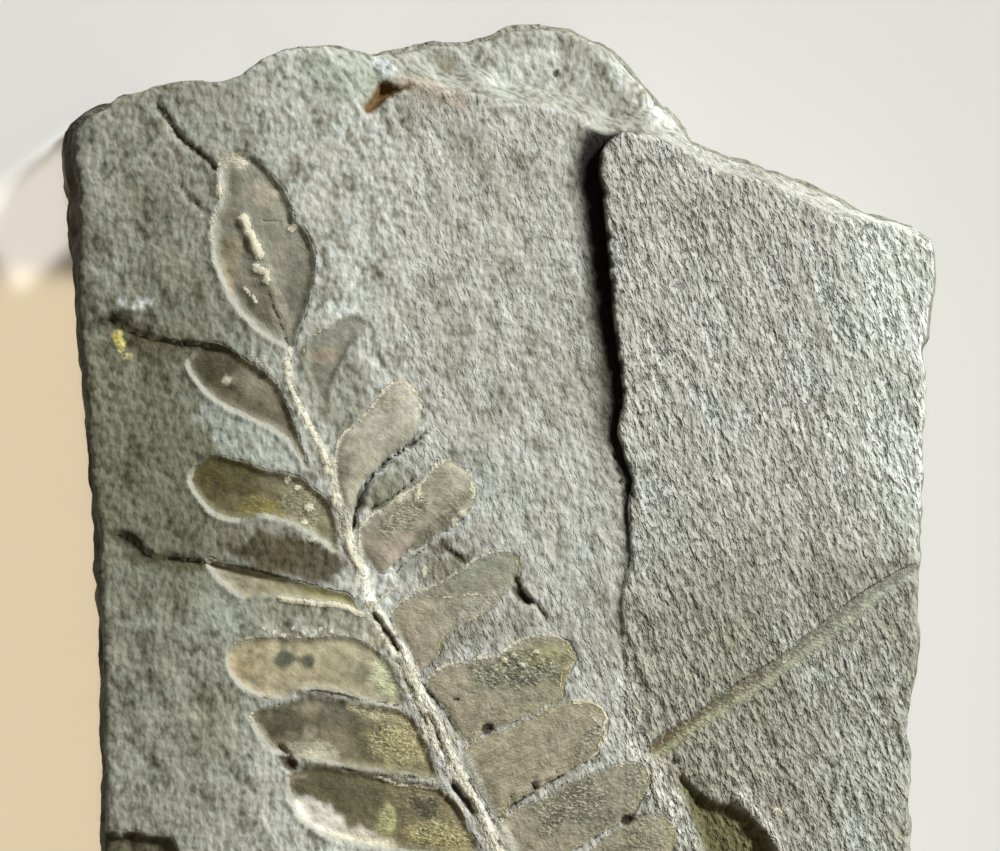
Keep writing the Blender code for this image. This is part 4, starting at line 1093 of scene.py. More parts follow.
def stone_washes() -> tuple[Wash, ...]:
    """Areas of another colour on the bare stone."""
    rust = (88, 81, 60)
    veil = (188, 193, 188)
    return (
        Wash((-19.9, 2.3), (5.6, 2.2), -12, rust, 0.95),
        Wash((-15.8, -4.2), (7, 1.3), -12, (140, 138, 116), 0.7),
        Wash((-13.7, -12), (6, 0.4), -9, (104, 98, 76), 0.8),
        Wash((-13.8, -19.1), (7.6, 0.6), -6, (110, 104, 80), 0.8),
        Wash((-27.4, -14), (2.6, 4), 0, (140, 140, 120), 0.6),
        Wash((-21.9, 2.8), (2.4, 2.2), 0, (80, 72, 50), 0.6),
        Wash((-24.4, 14.8), (5.6, 2.6), -35, (176, 182, 174), 0.7),
        Wash((-14.3, 18.4), (4.6, 2.2), 70, (140, 140, 124), 0.75),
        Wash((-17.7, 21.9), (3.4, 1.4), 80, (134, 134, 116), 0.7),
        # Painted shadow: the dark washes below the upper step, where its shade falls.
        Wash((-32.4, 22.8), (7.2, 1.2), -6, (84, 80, 58), 0.7),
        Wash((-36.1, 25), (2.6, 1), -6, (60, 55, 38), 0.7),
        Wash((-22.9, 20.8), (3, 0.9), -38, (164, 164, 148), 0.6),
        Wash((-38.4, 31), (2, 1.4), 0, (150, 154, 140), 0.5),
        Wash((-39.4, 41), (2.2, 2.6), 0, (156, 158, 146), 0.6),
        Wash((-33.9, 38), (3, 1.6), -50, (104, 102, 84), 0.6),
        # Painted shadow: the dark washes along the lower step and the dark spot at its end.
        Wash((-32.9, 2), (5, 0.9), -6, (74, 70, 50), 0.7),
        Wash((-36.1, 4), (1.4, 0.9), -25, (48, 42, 28), 0.85),
        Wash((-30.9, -4), (4.4, 2), 0, (150, 154, 138), 0.5),
        Wash((-26.7, -3.2), (2, 2.4), 20, (160, 164, 150), 0.5),
        Wash((3.1, 8.9), (4.4, 3.4), 60, veil, 0.7),
        Wash((-0.9, 10.9), (2, 2.6), 60, veil, 0.6),
        Wash((-18.9, 33), (6, 3), 80, (176, 178, 170), 0.4),
        Wash((-10.2, 8.8), (2.6, 1.3), 42, (128, 128, 106), 0.85),
        Wash((-9.3, 10.9), (1.1, 0.7), 40, (158, 164, 148), 0.8),
        Wash((-7.7, 1), (1.3, 0.6), 60, (158, 164, 156), 0.85),
        Wash((-12.8, 8), (0.5, 1.6), 10, (84, 80, 58), 0.8),
        Wash((-4.8, 3.2), (1.6, 0.7), 32, (98, 92, 70), 0.7),
        Wash((-3.4, 6), (1.6, 1.6), 0, (178, 186, 184), 0.7),
        Wash((-11.3, -6), (2, 1.2), 60, (150, 148, 122), 0.7),
        Wash((-4.3, 1.2), (3, 1.2), 30, (128, 124, 102), 0.7),
        Wash((-2.6, -5.5), (4, 1.2), 32, (140, 134, 114), 0.6),
        Wash((3.1, -4), (3, 1.6), 20, (150, 148, 130), 0.5),
        Wash((1.1, -13.5), (6, 0.6), 28, (184, 184, 164), 0.7),
        Wash((5.7, -20.4), (6, 0.8), 30, (160, 158, 140), 0.7),
        Wash((12.2, -12), (2.6, 5.6), 10, (208, 210, 202), 0.75),
        Wash((15.7, -18.6), (1.6, 3), 20, (216, 214, 202), 0.75),
        Wash((1.6, -14.2), (1.9, 0.4), 22, (160, 172, 160), 0.85),
        Wash((-36.9, 26.4), (1.3, 0.9), 0, (44, 38, 26), 0.85),
        Wash((-13.8, 50.4), (4.4, 3), -20, (158, 162, 148), 0.85),
        Wash((-10.3, 51.4), (1.5, 0.8), -60, (196, 202, 202), 0.9),
        Wash((-5.8, 48.8), (4.5, 1.2), -12, (172, 162, 148), 0.8),
        Wash((-4.3, 52.1), (1.4, 1.1), -20, (122, 118, 100), 0.75),
        Wash((-37.1, 23.8), (1.1, 0.36), -68, (206, 196, 104), 1),
        Wash((-36.2, 22.4), (0.6, 0.28), 15, (196, 180, 120), 1),
        Wash((-37, 24.9), (0.6, 0.25), 10, (186, 180, 124), 0.8),
        Wash((-36.8, 27.8), (0.5, 0.4), 0, (196, 200, 196), 0.9),
        Wash((-35.1, 27.5), (0.6, 0.5), 0, (206, 208, 204), 0.9),
        Wash((-34, 27.9), (0.7, 0.4), 30, (200, 204, 200), 0.9),
        Wash((11.2, -6), (2.4, 6), 5, (160, 160, 144), 0.4),
        Wash((6.2, 7.4), (5, 5.5), 0, (206, 210, 200), 0.3),
        Wash((38, -18), (4.5, 10), 0, (200, 208, 202), 0.4),
        Wash((4, 51.6), (6, 2.4), -8, (192, 194, 188), 0.6),
        Wash((15, 49.4), (5.2, 1.2), -47, (212, 214, 208), 0.75),
        Wash((18.3, -22.6), (4.2, 1), -62, (214, 213, 200), 0.8),
        Wash((26.4, -23.6), (4.4, 1.1), -55, (208, 206, 192), 0.75),
    )


# --- the slab ---
LEFT = (
    (-38.4, -43.1), (-38, -38.1), (-38.4, -32.6), (-38.6, -27.1), (-38.4, -20), (-38.5, -12.7),
    (-38.8, -3.8), (-39.1, 0.7), (-39, 3.8), (-39.8, 11.2), (-40.3, 18.1), (-41.2, 27.6), (-41.1, 35.5),
    (-41.1, 39.5), (-41.6, 42), (-41.5, 44.9),
)
TOP_LEFT = (
    (-40.1, 46.5), (-38.5, 47.2), (-36.9, 48.4), (-33.5, 49.2), (-30, 49.9), (-26.9, 49.9), (-24.9, 50.4),
    (-22.7, 51.9), (-20.4, 52.9), (-16.4, 53.4), (-11.4, 52.6),
)
BED = (
    (-9, 53), (-5.5, 53.9), (-2.1, 53.9), (2.2, 55.3), (5.1, 55.5), (8.2, 55.4), (9.5, 54.8), (12, 53.5),
    (16.9, 48.4), (18.2, 47.1), (20.2, 43.9),
)
TOP_RIGHT = ((23.4, 42.6), (27.6, 41.2), (31.4, 39.8), (35.5, 37.9), (38.8, 36), (42.5, 35.1))
RIGHT = (
    (44.1, 33.8), (44.4, 30.2), (43.9, 26.1), (43.2, 22.9), (43.8, 19.6), (43.4, 15), (43.2, 6.3),
    (42.9, -3.2), (42.5, -9.5), (41.9, -16.2), (42.2, -19.1), (41.9, -27.1), (42, -33.6), (42.4, -40.1),
)
LOWER = (
    (41.6, -46.8), (39.4, -49.2), (33.6, -50.4), (26.4, -52.3), (21.7, -52), (13.4, -53.6), (9, -53.1),
    (-1.4, -55), (-8.6, -54.4), (-12.9, -52.7), (-22.3, -52.9), (-29.8, -51.2), (-34.6, -51.6),
    (-37.6, -48.9),
)


@dataclass(kw_only=True)
class Slab(Worked):
    """The whole stone: its face, its broken sides and its underside, as one closed mesh."""

    beds: Beds = field(default_factory=lambda: Beds(washes=stone_washes()))
    frond: Frond = field(default_factory=fern)
    stem: Stem = Stem(((16.4, -16.4), (20.2, -13.7), (24.5, -10.7), (29, -7.8), (35.5, -2.7), (39.2, -0.2),
                       (42.6, 1.5)),
        ((17.1, -18.1), (20.9, -15.3), (24.5, -13), (27.4, -11.2), (33.5, -6.8), (36.6, -4.3), (40.2, -1.5),
         (42.7, 0)))
    hollows: tuple[Hollow, ...] = (
        Hollow(ring(
            (17.8, -18.5), (18.3, -19.6), (19.2, -21.6), (20.1, -23.9), (21.3, -27.1), (22.8, -31.1),
            (25.1, -35.9), (28.6, -37.9), (31.9, -36.1), (31.8, -32.1), (30.1, -28.9), (29, -27.1),
            (27.9, -25.2), (26.8, -24.1), (25.8, -22.9), (24.5, -22.4), (22.8, -22.1), (21.1, -21.1),
            (19.5, -19.6)), 1.2, 1, (106, 102, 62)),
        Hollow(ring(
            (-12.8, 47), (-11.8, 48.8), (-10.7, 50), (-9.2, 49.6), (-7.7, 49.6), (-8.9, 48.6),
            (-10.2, 47.8), (-11.8, 46.6)), 1.5, 2, (104, 80, 46), 1, 0.15),
        Hollow(ring(
            (-39.1, -25.9), (-36.9, -25.5), (-33.9, -25.6), (-31.6, -26.2), (-31.1, -27.9), (-32.9, -29.2),
            (-36.9, -30.1), (-39, -30.1)), 1, 1.6, (84, 80, 56)),
    )
    grooves: tuple[Groove, ...] = (
        Groove(path((-33.6, 48), (-32.1, 46), (-30.7, 44), (-28.8, 42.5), (-27.2, 41), (-26.8, 40.4)), 0.6,
            0.4, 0.8),
        Groove(path((-34.2, 43), (-33.2, 41.5), (-32.2, 40)), 0.35, 0.2, 0.4),
        Groove(path((-31.1, 39.5), (-29.7, 38), (-28.2, 36.5)), 0.4, 0.25, 0.5),
        Groove(path((35.5, 14.1), (36.1, 9.9), (36.5, 7.7), (37.4, 4.8), (37.6, 1.7)), 0.3, 0.25, 0.5),
        Groove(path((3, -1.2), (4.2, -2), (5.2, -3), (6.2, -4.5)), 0.35, 0.4, 0.8),
        Groove(path((2.6, 0.3), (3.2, -1), (4.2, -2.7)), 0.45, 0.5, 0.9),
        Groove(path((33.4, -18.5), (34.1, -18.2), (34.4, -19.6), (34.2, -22.1)), 0.4, 0.4, 0.7),
        Groove(path((12.4, 12.9), (12.9, 11), (13.3, 9.2)), 0.3, 0.4, 0.9),
        Groove(path((13.9, 9.7), (14.3, 8.6), (14.4, 7.8)), 0.3, 0.4, 0.9),
    )
    ridges: tuple[Ridge, ...] = (
        Ridge(path(
            (14.3, 6), (14.3, 3.5), (14.2, 1.7), (13.5, -1.7), (13.7, -5.2), (13.8, -7.5), (15, -7.9),
            (15.8, -9.7), (16.4, -11.5), (16.1, -13.2), (16.1, -16), (16.3, -18.1)), 0.5, 0.2),
        Ridge(path((6.2, 51.5), (5.8, 50.5), (5.8, 49.6), (6.2, 48.6), (6.9, 47.8)), 0.3, 0.35),
        Ridge(path((24.9, -21), (26.2, -23.2), (27.5, -24.9), (28.6, -26.2), (29.8, -27.9)), 0.5, 0.5),
        Ridge(path((-36.1, -14.5), (-33.9, -14.2), (-30.9, -14), (-28.4, -14), (-25.9, -14)), 0.4, 0.14),
        Ridge(path((28.9, -8), (29.9, -8.3), (31.2, -8.5)), 0.1, 0.12, Mark.CRUST, 1),
    )
    patches: tuple[Patch, ...] = (
        Patch((-37, 23.3), (0.75, 0.3), -68, Mark.GOLD, 1.5),
        Patch((-36.3, 22.4), (0.5, 0.22), 20, Mark.GOLD, 1.4),
        Patch((-36.5, 24.6), (0.4, 0.16), 15, Mark.GOLD, 1),
        Patch((-36.1, 23.6), (0.4, 0.5), 0, Mark.CARBON_AND_SHADE, 0.7, -0.2),
        Patch((6.8, 51.1), (0.5, 0.3), 60, Mark.CARBON_AND_SHADE, 0.9),
        Patch((-35.6, 4), (1, 0.5), -35, Mark.CARBON_AND_SHADE, 0.8),
        Patch((29.4, -23), (1.1, 0.5), 10, Mark.CRUST, 0.6),
        Patch((18.6, -18.2), (0.4, 0.4), 0, Mark.CARBON_AND_SHADE, 0.8),
    )
    flare: float = 1.3
    left_flare: float = 2.15
    upper_flare: float = 1.25
    foot_z: float = 1.7
    foot_inset: float = 3.0
    side_rings: int = 29
    side_beds: Pairs = ((0, 0), (0.07, 0.1), (0.22, -0.1), (0.26, 0.45), (0.45, 0.2), (0.49, -0.35),
                        (0.7, -0.15), (0.74, 0.5), (1, 0))  # (share of the way down, how far it juts out)
    rim_w: float = 0.6
    rim_drop: float = 0.28
    rim_step: float = 0.62
    fern_grid: float = 0.32
    stone_grid: float = 0.47
    under_grid: float = 3.0

    def outline(self) -> np.ndarray:
        """The broken edge of the face, clockwise seen from above."""
        corners = np.array(LEFT + TOP_LEFT + BED + TOP_RIGHT + RIGHT + LOWER, float)
        found = []
        for a, b in zip(corners, np.roll(corners, -1, axis=0)):
            length = float(np.hypot(*(b - a)))
            count = max(1, math.ceil(length / self.rim_step))
            out = np.array([-(b - a)[1], (b - a)[0]]) / length
            for k in range(count):
                at = a + (b - a) * k / count
                spot = at[None]
                bite = 0.16 * noise(spot, (1.6, 1.6), 0, 41) + 0.08 * noise(spot, (0.7, 0.7), 0, 42)
                found.append(at + out * float(bite[0]))
        return np.array(found)

    def spread(self, loop: np.ndarray, fixed: np.ndarray) -> np.ndarray:
        """Loose points for the face, closer together under the fern.

        Args:
            loop: The face's edge.
            fixed: Points that they keep clear of.

        Returns:
            The loose points.
        """
        fern_area = np.array(((-32, 46), (-15, 46), (-3, 22), (5, 4), (19, -7), (20, -26),
                              (24, -32), (15, -47), (-3, -44), (-18, -34), (-32, -6), (-33, 26)))
        parts = []
        for size, within in ((self.fern_grid, True), (self.stone_grid, False)):
            low, high = loop.min(axis=0), loop.max(axis=0)
            rows = int((high[1] - low[1]) / (size * ROW_PITCH)) + 2
            lines = []
            for j in range(rows):
                xs = np.arange(low[0] + (0.5 * size if j % 2 else 0), high[0], size)
                lines.append(np.column_stack([xs, np.full(len(xs), low[1] + j * size * ROW_PITCH)]))
            p = np.vstack(lines)
            p = p[inside(p, fern_area) == within]
            p = p + 0.16 * size * np.column_stack([noise(p, (0.4, 0.4), 0, 5),
                                                   noise(p, (0.4, 0.4), 0, 6)])
            parts.append((p, size))
        tree = KDTree(len(fixed))
        for i, (x, y) in enumerate(fixed):
            tree.insert((x, y, 0), i)
        tree.balance()
        kept = []
        for p, size in parts:
            p = p[inside(p, loop)]
            clear = [tree.find((x, y, 0))[2] > CLEARANCE * size for x, y in p]
            kept.append(p[np.array(clear)])
        return np.vstack(kept)

    def face_lines(self) -> list[tuple[np.ndarray, bool]]:
        """Lines that the triangles of the face follow, as (points, closed)."""
        foot = self.beds.ledge.curve(0.4)
        found = [(foot, False), (self.beds.brow.curve(0.45), False)]
        turn = np.gradient(foot, axis=0)
        turn /= np.hypot(turn[:, 0], turn[:, 1])[:, None]
        found.append((foot + self.beds.ledge_run * np.column_stack([turn[:, 1], -turn[:, 0]]), False))
        found += [(line.curve(0.45), False) for line in self.beds.steps]
        found += [(leaf.outline.curve(0.36), True) for leaf in self.frond.leaflets]
        return found

    def face_mesh(self, loop: np.ndarray) -> tuple[np.ndarray, np.ndarray]:
        """(points, triangles) of the face in plan; the loop's points come first."""
        edges = loop_edges(len(loop))
        fixed, total = [loop], len(loop)
        for line, closed in self.face_lines():
            near = nearest(line, loop, True)
            ok = inside(line, loop) & (near.dist > 0.35)
            pairs = loop_edges(len(line))[:None if closed else -1]
            edges += [(total + i, total + j) for i, j in pairs if ok[i] and ok[j]]
            fixed.append(np.where(ok[:, None], line, loop[0] + 0.5 * (loop[5] - loop[0])))
            total += len(line)
        kept = np.vstack(fixed)
        loose = self.spread(loop, kept)
        return triangulated(np.vstack([kept, loose]), edges, loop)

    def sides(self, loop: np.ndarray, top_z: np.ndarray) -> list[np.ndarray]:
        """Rings of points down the broken sides and in to the flat underside."""
        n = len(loop)
        along = np.roll(loop, -1, axis=0) - np.roll(loop, 1, axis=0)
        along /= np.hypot(along[:, 0], along[:, 1])[:, None]
        out = np.column_stack([-along[:, 1], along[:, 0]])
        for _ in range(3):
            out = out + np.roll(out, 1, axis=0) + np.roll(out, -1, axis=0)
            out /= np.hypot(out[:, 0], out[:, 1])[:, None]
        west = ease((-20 - loop[:, 0]) / 12) * ease((49 - loop[:, 1]) / 4)
        upper = self.upper_flare * ease((loop[:, 1] - 30) / 5)
        flare = self.flare + (self.left_flare + upper - self.flare) * west
        run = np.concatenate([[0], np.cumsum(np.hypot(*np.diff(loop, axis=0).T))])
        flat_run = np.column_stack([run, np.zeros(n)])
        foot = self.foot_z + 0.7 * noise(flat_run, (9, 9), 0, 51)
        found = []
        for level in np.linspace(0, 1, self.side_rings + 1)[1:]:
            z = top_z + (foot - top_z) * level
            place = np.column_stack([run, z * 3])
            bed = np.interp(level + 0.012 * noise(flat_run, (7, 7), 0, 53), *zip(*self.side_beds))
            push = flare * level + bed * (1 + 0.7 * noise(flat_run, (6, 6), 0, 52 + int(level * 4)))
            push = push + 0.22 * noise(place, (1.1, 4.0), 0, 54) + 0.12 * noise(place, (0.8, 1.2), 0, 55)
            push = push * ease(level * 9 + 0.2)
            found.append(np.column_stack([loop + out * push[:, None], z]))
        last = found[-1]
        inset = self.foot_inset + 0.9 * noise(flat_run, (8, 8), 0, 56)
        for part in (0.3, 0.65, 1.0):
            z = last[:, 2] * (1 - part) ** 1.2
            chip = 0.25 * noise(flat_run, (1.6, 1.6), 0, 57 + int(part * 9)) * (part < 1)
            xy = last[:, :2] - out * (inset * part + chip)[:, None]
            found.append(np.column_stack([xy, z]))
        return found

    def build(self) -> "StoneMesh":
        """The closed mesh with everything that the material reads."""
        loop = self.outline()
        plan, tris = self.face_mesh(loop)
        face = FaceField(plan)
        self.beds.lay(face)
        self.frond.press_on(face)
        self.stem.press_on(face)
        self.work_into(face)
        self.roughen(face, loop)
        stone = StoneMesh(face, tris)
        rings = self.sides(loop, face.z[:len(loop)])
        stone.add_rings(rings)
        stone.close_under(*self.under_mesh(rings[-1][:, :2]))
        return stone

    def under_mesh(self, base: np.ndarray) -> tuple[np.ndarray, np.ndarray]:
        """The underside's inner points, and its triangles over the base's points and those."""
        size = self.under_grid
        low, high = base.min(axis=0), base.max(axis=0)
        xs, ys = np.meshgrid(np.arange(low[0], high[0], size), np.arange(low[1], high[1], size))
        loose = np.column_stack([xs.ravel(), ys.ravel()])
        near = nearest(loose, base, True)
        loose = loose[inside(loose, base) & (near.dist > CLEARANCE * size)]
        flat, tris = triangulated(np.vstack([base, loose]), loop_edges(len(base)), base)
        return flat[len(base):], tris

    def roughen(self, face: FaceField, loop: np.ndarray) -> None:
        """Adds the stone's own roughness and the worn edge.

        Args:
            face: The face.
            loop: Its edge.
        """
        xy = face.xy
        bare = 1 - 0.8 * ease(face.film / 0.3 + 0.4)
        sharp = face.grain
        streaks = noise(xy, (0.55, 1.5), -63, 61) + 0.6 * noise(xy, (0.42, 1.0), -58, 62)
        soft = 1.5 * noise(xy, (1.9, 2.6), 92, 63) + noise(xy, (1.0, 1.3), 84, 64)
        face.z += 0.05 * bare * streaks * sharp
        face.z += (0.25 + 0.75 * bare) * 0.05 * soft * (1 - 0.8 * sharp)
        face.z += bare * 0.07 * sharp * noise(xy, (1.6, 4.0), -62, 65)
        near = nearest(xy, loop, True)
        wear = self.rim_w * (1 + 0.5 * noise(xy, (2.5, 2.5), 0, 66))
        face.z -= self.rim_drop * ease(1 - near.dist / wear)


def loop_edges(count: int) -> list[tuple[int, int]]:
    """The edges of a loop of this many points."""
    return [(i, (i + 1) % count) for i in range(count)]


def triangulated(points: np.ndarray, edges: list[tuple[int, int]],
                 loop: np.ndarray) -> tuple[np.ndarray, np.ndarray]:
    """Fills a loop with triangles.

    Args:
        points: The loop's points, then the others.
        edges: Pairs of points that an edge joins.
        loop: The loop.

    Returns:
        The points that are used, the loop's first, and the triangles.
    """
    cloud = [Vector(p) for p in points]
    verts, _, faces, sources, _, _ = delaunay_2d_cdt(cloud, edges, [], 0, SAME_PLACE)
    flat, tris = np.array([tuple(v) for v in verts]), np.array(faces, int)
    tris = tris[inside(flat[tris].mean(axis=1), loop)]
    return renumbered(flat, tris, sources, len(loop))


def renumbered(flat: np.ndarray, tris: np.ndarray, sources: list,
               first: int) -> tuple[np.ndarray, np.ndarray]:
    """Puts the edge's points first and drops unused ones.

    Args:
        flat: The triangulation's points.
        tris: Its triangles.
        sources: For each point, the input points that it stands for.
        first: How many input points belong to the edge.

    Returns:
        The points and the triangles, all turned the same way.
    """
    order = np.full(len(flat), -1)
    for new, olds in enumerate(sources):
        for old in olds:
            if old < first:
                order[new] = old
    used = np.zeros(len(flat), bool)
    used[tris.ravel()] = True
    rest = np.flatnonzero((order < 0) & used)
    order[rest] = first + np.arange(len(rest))
    placed = np.zeros((first + len(rest), 2))
    known = order >= 0
    placed[order[known]] = flat[known]
    tris = order[tris]
    a, b, c = placed[tris[:, 0]], placed[tris[:, 1]], placed[tris[:, 2]]
    turn = (b[:, 0] - a[:, 0]) * (c[:, 1] - a[:, 1]) - (b[:, 1] - a[:, 1]) * (c[:, 0] - a[:, 0])
    tris[turn < 0] = tris[turn < 0][:, ::-1]
    return placed, tris


class StoneMesh:
    """Points, triangles and paint of the closed stone."""

    side_stone: Shown = (150, 150, 136)
    side_brown_and_shade: Shown = (44, 33, 20)

    def __init__(self, face: FaceField, tris: np.ndarray) -> None:
        """Starts with the face.

        Args:
            face: The finished face.
            tris: Its triangles.
        """
        self.points = [np.column_stack([face.xy, face.z])]
        self.tris = [tris]
        self.face = face
        self.rim = 0
        self.total = len(face.xy)
        self.face_count = self.total

    def add_rings(self, rings: list[np.ndarray]) -> None:
        """Joins rings of points below the edge, each to the one above."""
        upper = np.arange(len(rings[0]))
        for ring in rings:
            lower = self.total + np.arange(len(ring))
            after, below = np.roll(upper, -1), np.roll(lower, -1)
            self.tris.append(np.column_stack([upper, after, lower]))
            self.tris.append(np.column_stack([after, below, lower]))
            self.points.append(ring)
            self.total += len(ring)
            upper = lower
        self.rim = upper

    def close_under(self, inner: np.ndarray, tris: np.ndarray) -> None:
        """Closes the underside with its inner points and triangles."""
        self.points.append(np.column_stack([inner, np.zeros(len(inner))]))
        index = np.concatenate([self.rim, self.total + np.arange(len(inner))])
        self.tris.append(index[tris][:, ::-1])
        self.total += len(inner)

    def to_object(self, name: str) -> bpy.types.Object:
        """Makes the Blender object, with what the material reads stored on it.

        Args:
            name: The object's name.

        Returns:
            The object, linked to the scene.
        """
        points, tris = np.vstack(self.points), np.vstack(self.tris)
        mesh = bpy.data.meshes.new(name)
        mesh.vertices.add(len(points))
        mesh.vertices.foreach_set("co", (points * MM).astype(np.float32).ravel())
        mesh.loops.add(3 * len(tris))
        mesh.loops.foreach_set("vertex_index", tris.astype(np.int32).ravel())
        mesh.polygons.add(len(tris))
        mesh.polygons.foreach_set("loop_start", np.arange(0, 3 * len(tris), 3, dtype=np.int32))
        mesh.update(calc_edges=True)
        mesh.validate()
        mesh.polygons.foreach_set("use_smooth", np.ones(len(tris), bool))
        self.paint(mesh, points)
        stone = bpy.data.objects.new(name, mesh)
        bpy.context.scene.collection.objects.link(stone)
        LOG.info("%s: %d triangles", name, len(tris))
        return stone

    def paint(self, mesh: bpy.types.Mesh, points: np.ndarray) -> None:
        """Stores what the material reads.

        Args:
            mesh: The mesh.
            points: All its points.
        """
        n, k = len(points), self.face_count
        face = self.face
        film, grain, side, speckle = np.full(n, BARE), np.full(n, 0.5), np.ones(n), np.zeros(n)
        film[:k], grain[:k], side[:k], speckle[:k] = face.film, face.grain, 0, face.speckle
        vein, marks, edge = np.zeros((n, 3)), np.zeros((n, 3)), np.zeros((n, 3))
        vein[:k], marks[:k], edge[:k] = face.vein, face.marks, face.edge
        tint, ground = np.tile(STONE_FILM, (n, 1)), self.side_colour(points)
        tint[:k], ground[:k] = face.tint, face.ground
        for name, values in (("film", film), ("grain", grain), ("side", side), ("speckle", speckle)):
            layer = mesh.attributes.new(name, "FLOAT", "POINT")
            layer.data.foreach_set("value", values.astype(np.float32))
        for name, values in (("vein", vein), ("marks", marks), ("edge", edge), ("tint", tint),
                             ("ground", ground)):
            layer = mesh.attributes.new(name, "FLOAT_VECTOR", "POINT")
            layer.data.foreach_set("vector", values.astype(np.float32).ravel())

    def side_colour(self, points: np.ndarray) -> np.ndarray:
        """Colour of the bare stone on the sides and below; the left wall is dark brown, partly its stain
        and partly painted shade on the side turned from the light.

        Args:
            points: All points.

        Returns:
            One colour for each point.
        """
        stone = np.tile(linear(*self.side_stone), (len(points), 1))
        beds = noise(np.column_stack([points[:, 2], points[:, 0] + points[:, 1]]), (14, 1.4), 0, 71)
        stone = stone * (1 + 0.12 * beds[:, None])
        # The left wall's dark brown is partly its stain, partly painted shade on the side turned from the
        # light.
        brown = ease((-35 - points[:, 0]) / 2) * (0.8 + 0.2 * noise(points[:, 1:], (2, 2), 0, 72))
        return stone * (1 - brown[:, None]) + np.array(linear(*self.side_brown_and_shade)) * brown[:, None]


# --- finishes ---
class Signal:
    """A number, colour or vector that nodes work out. A sum of signals adds the nodes that work it out."""

    def __init__(self, graph: "Graph", socket: bpy.types.NodeSocket) -> None:
        """Stands for this socket of the graph."""
        self.graph = graph
        self.socket = socket

    def __add__(self, other: "Value") -> "Signal":
        """This plus another."""
        return self.graph.math("ADD", self, other)

    def __radd__(self, other: float) -> "Signal":
        """A number plus this."""
        return self.graph.math("ADD", other, self)

    def __sub__(self, other: "Value") -> "Signal":
        """This less another."""
        return self.graph.math("SUBTRACT", self, other)

    def __rsub__(self, other: float) -> "Signal":
        """A number less this."""
        return self.graph.math("SUBTRACT", other, self)

    def __mul__(self, other: "Value") -> "Signal":
        """This times another."""
        return self.graph.math("MULTIPLY", self, other)

    def __truediv__(self, other: "Value") -> "Signal":
        """This divided by another."""
        return self.graph.math("DIVIDE", self, other)

    def __abs__(self) -> "Signal":
        """This without its sign."""
        return self.graph.math("ABSOLUTE", self)


Value = Signal | float
Input = Signal | float | Colour


@dataclass(frozen=True)
class Grain:
    """Procedural noise about 0.5.

    Attributes:
        size: Sizes of its features in millimetres, along X and Y before its turn.
        turn: Its turn about +Z in degrees.
        detail: How many finer layers it has.
        rough: Strength of each finer layer against the one before.
    """

    size: Pair
    turn: float = 0.0
    detail: float = 2.0
    rough: float = 0.6


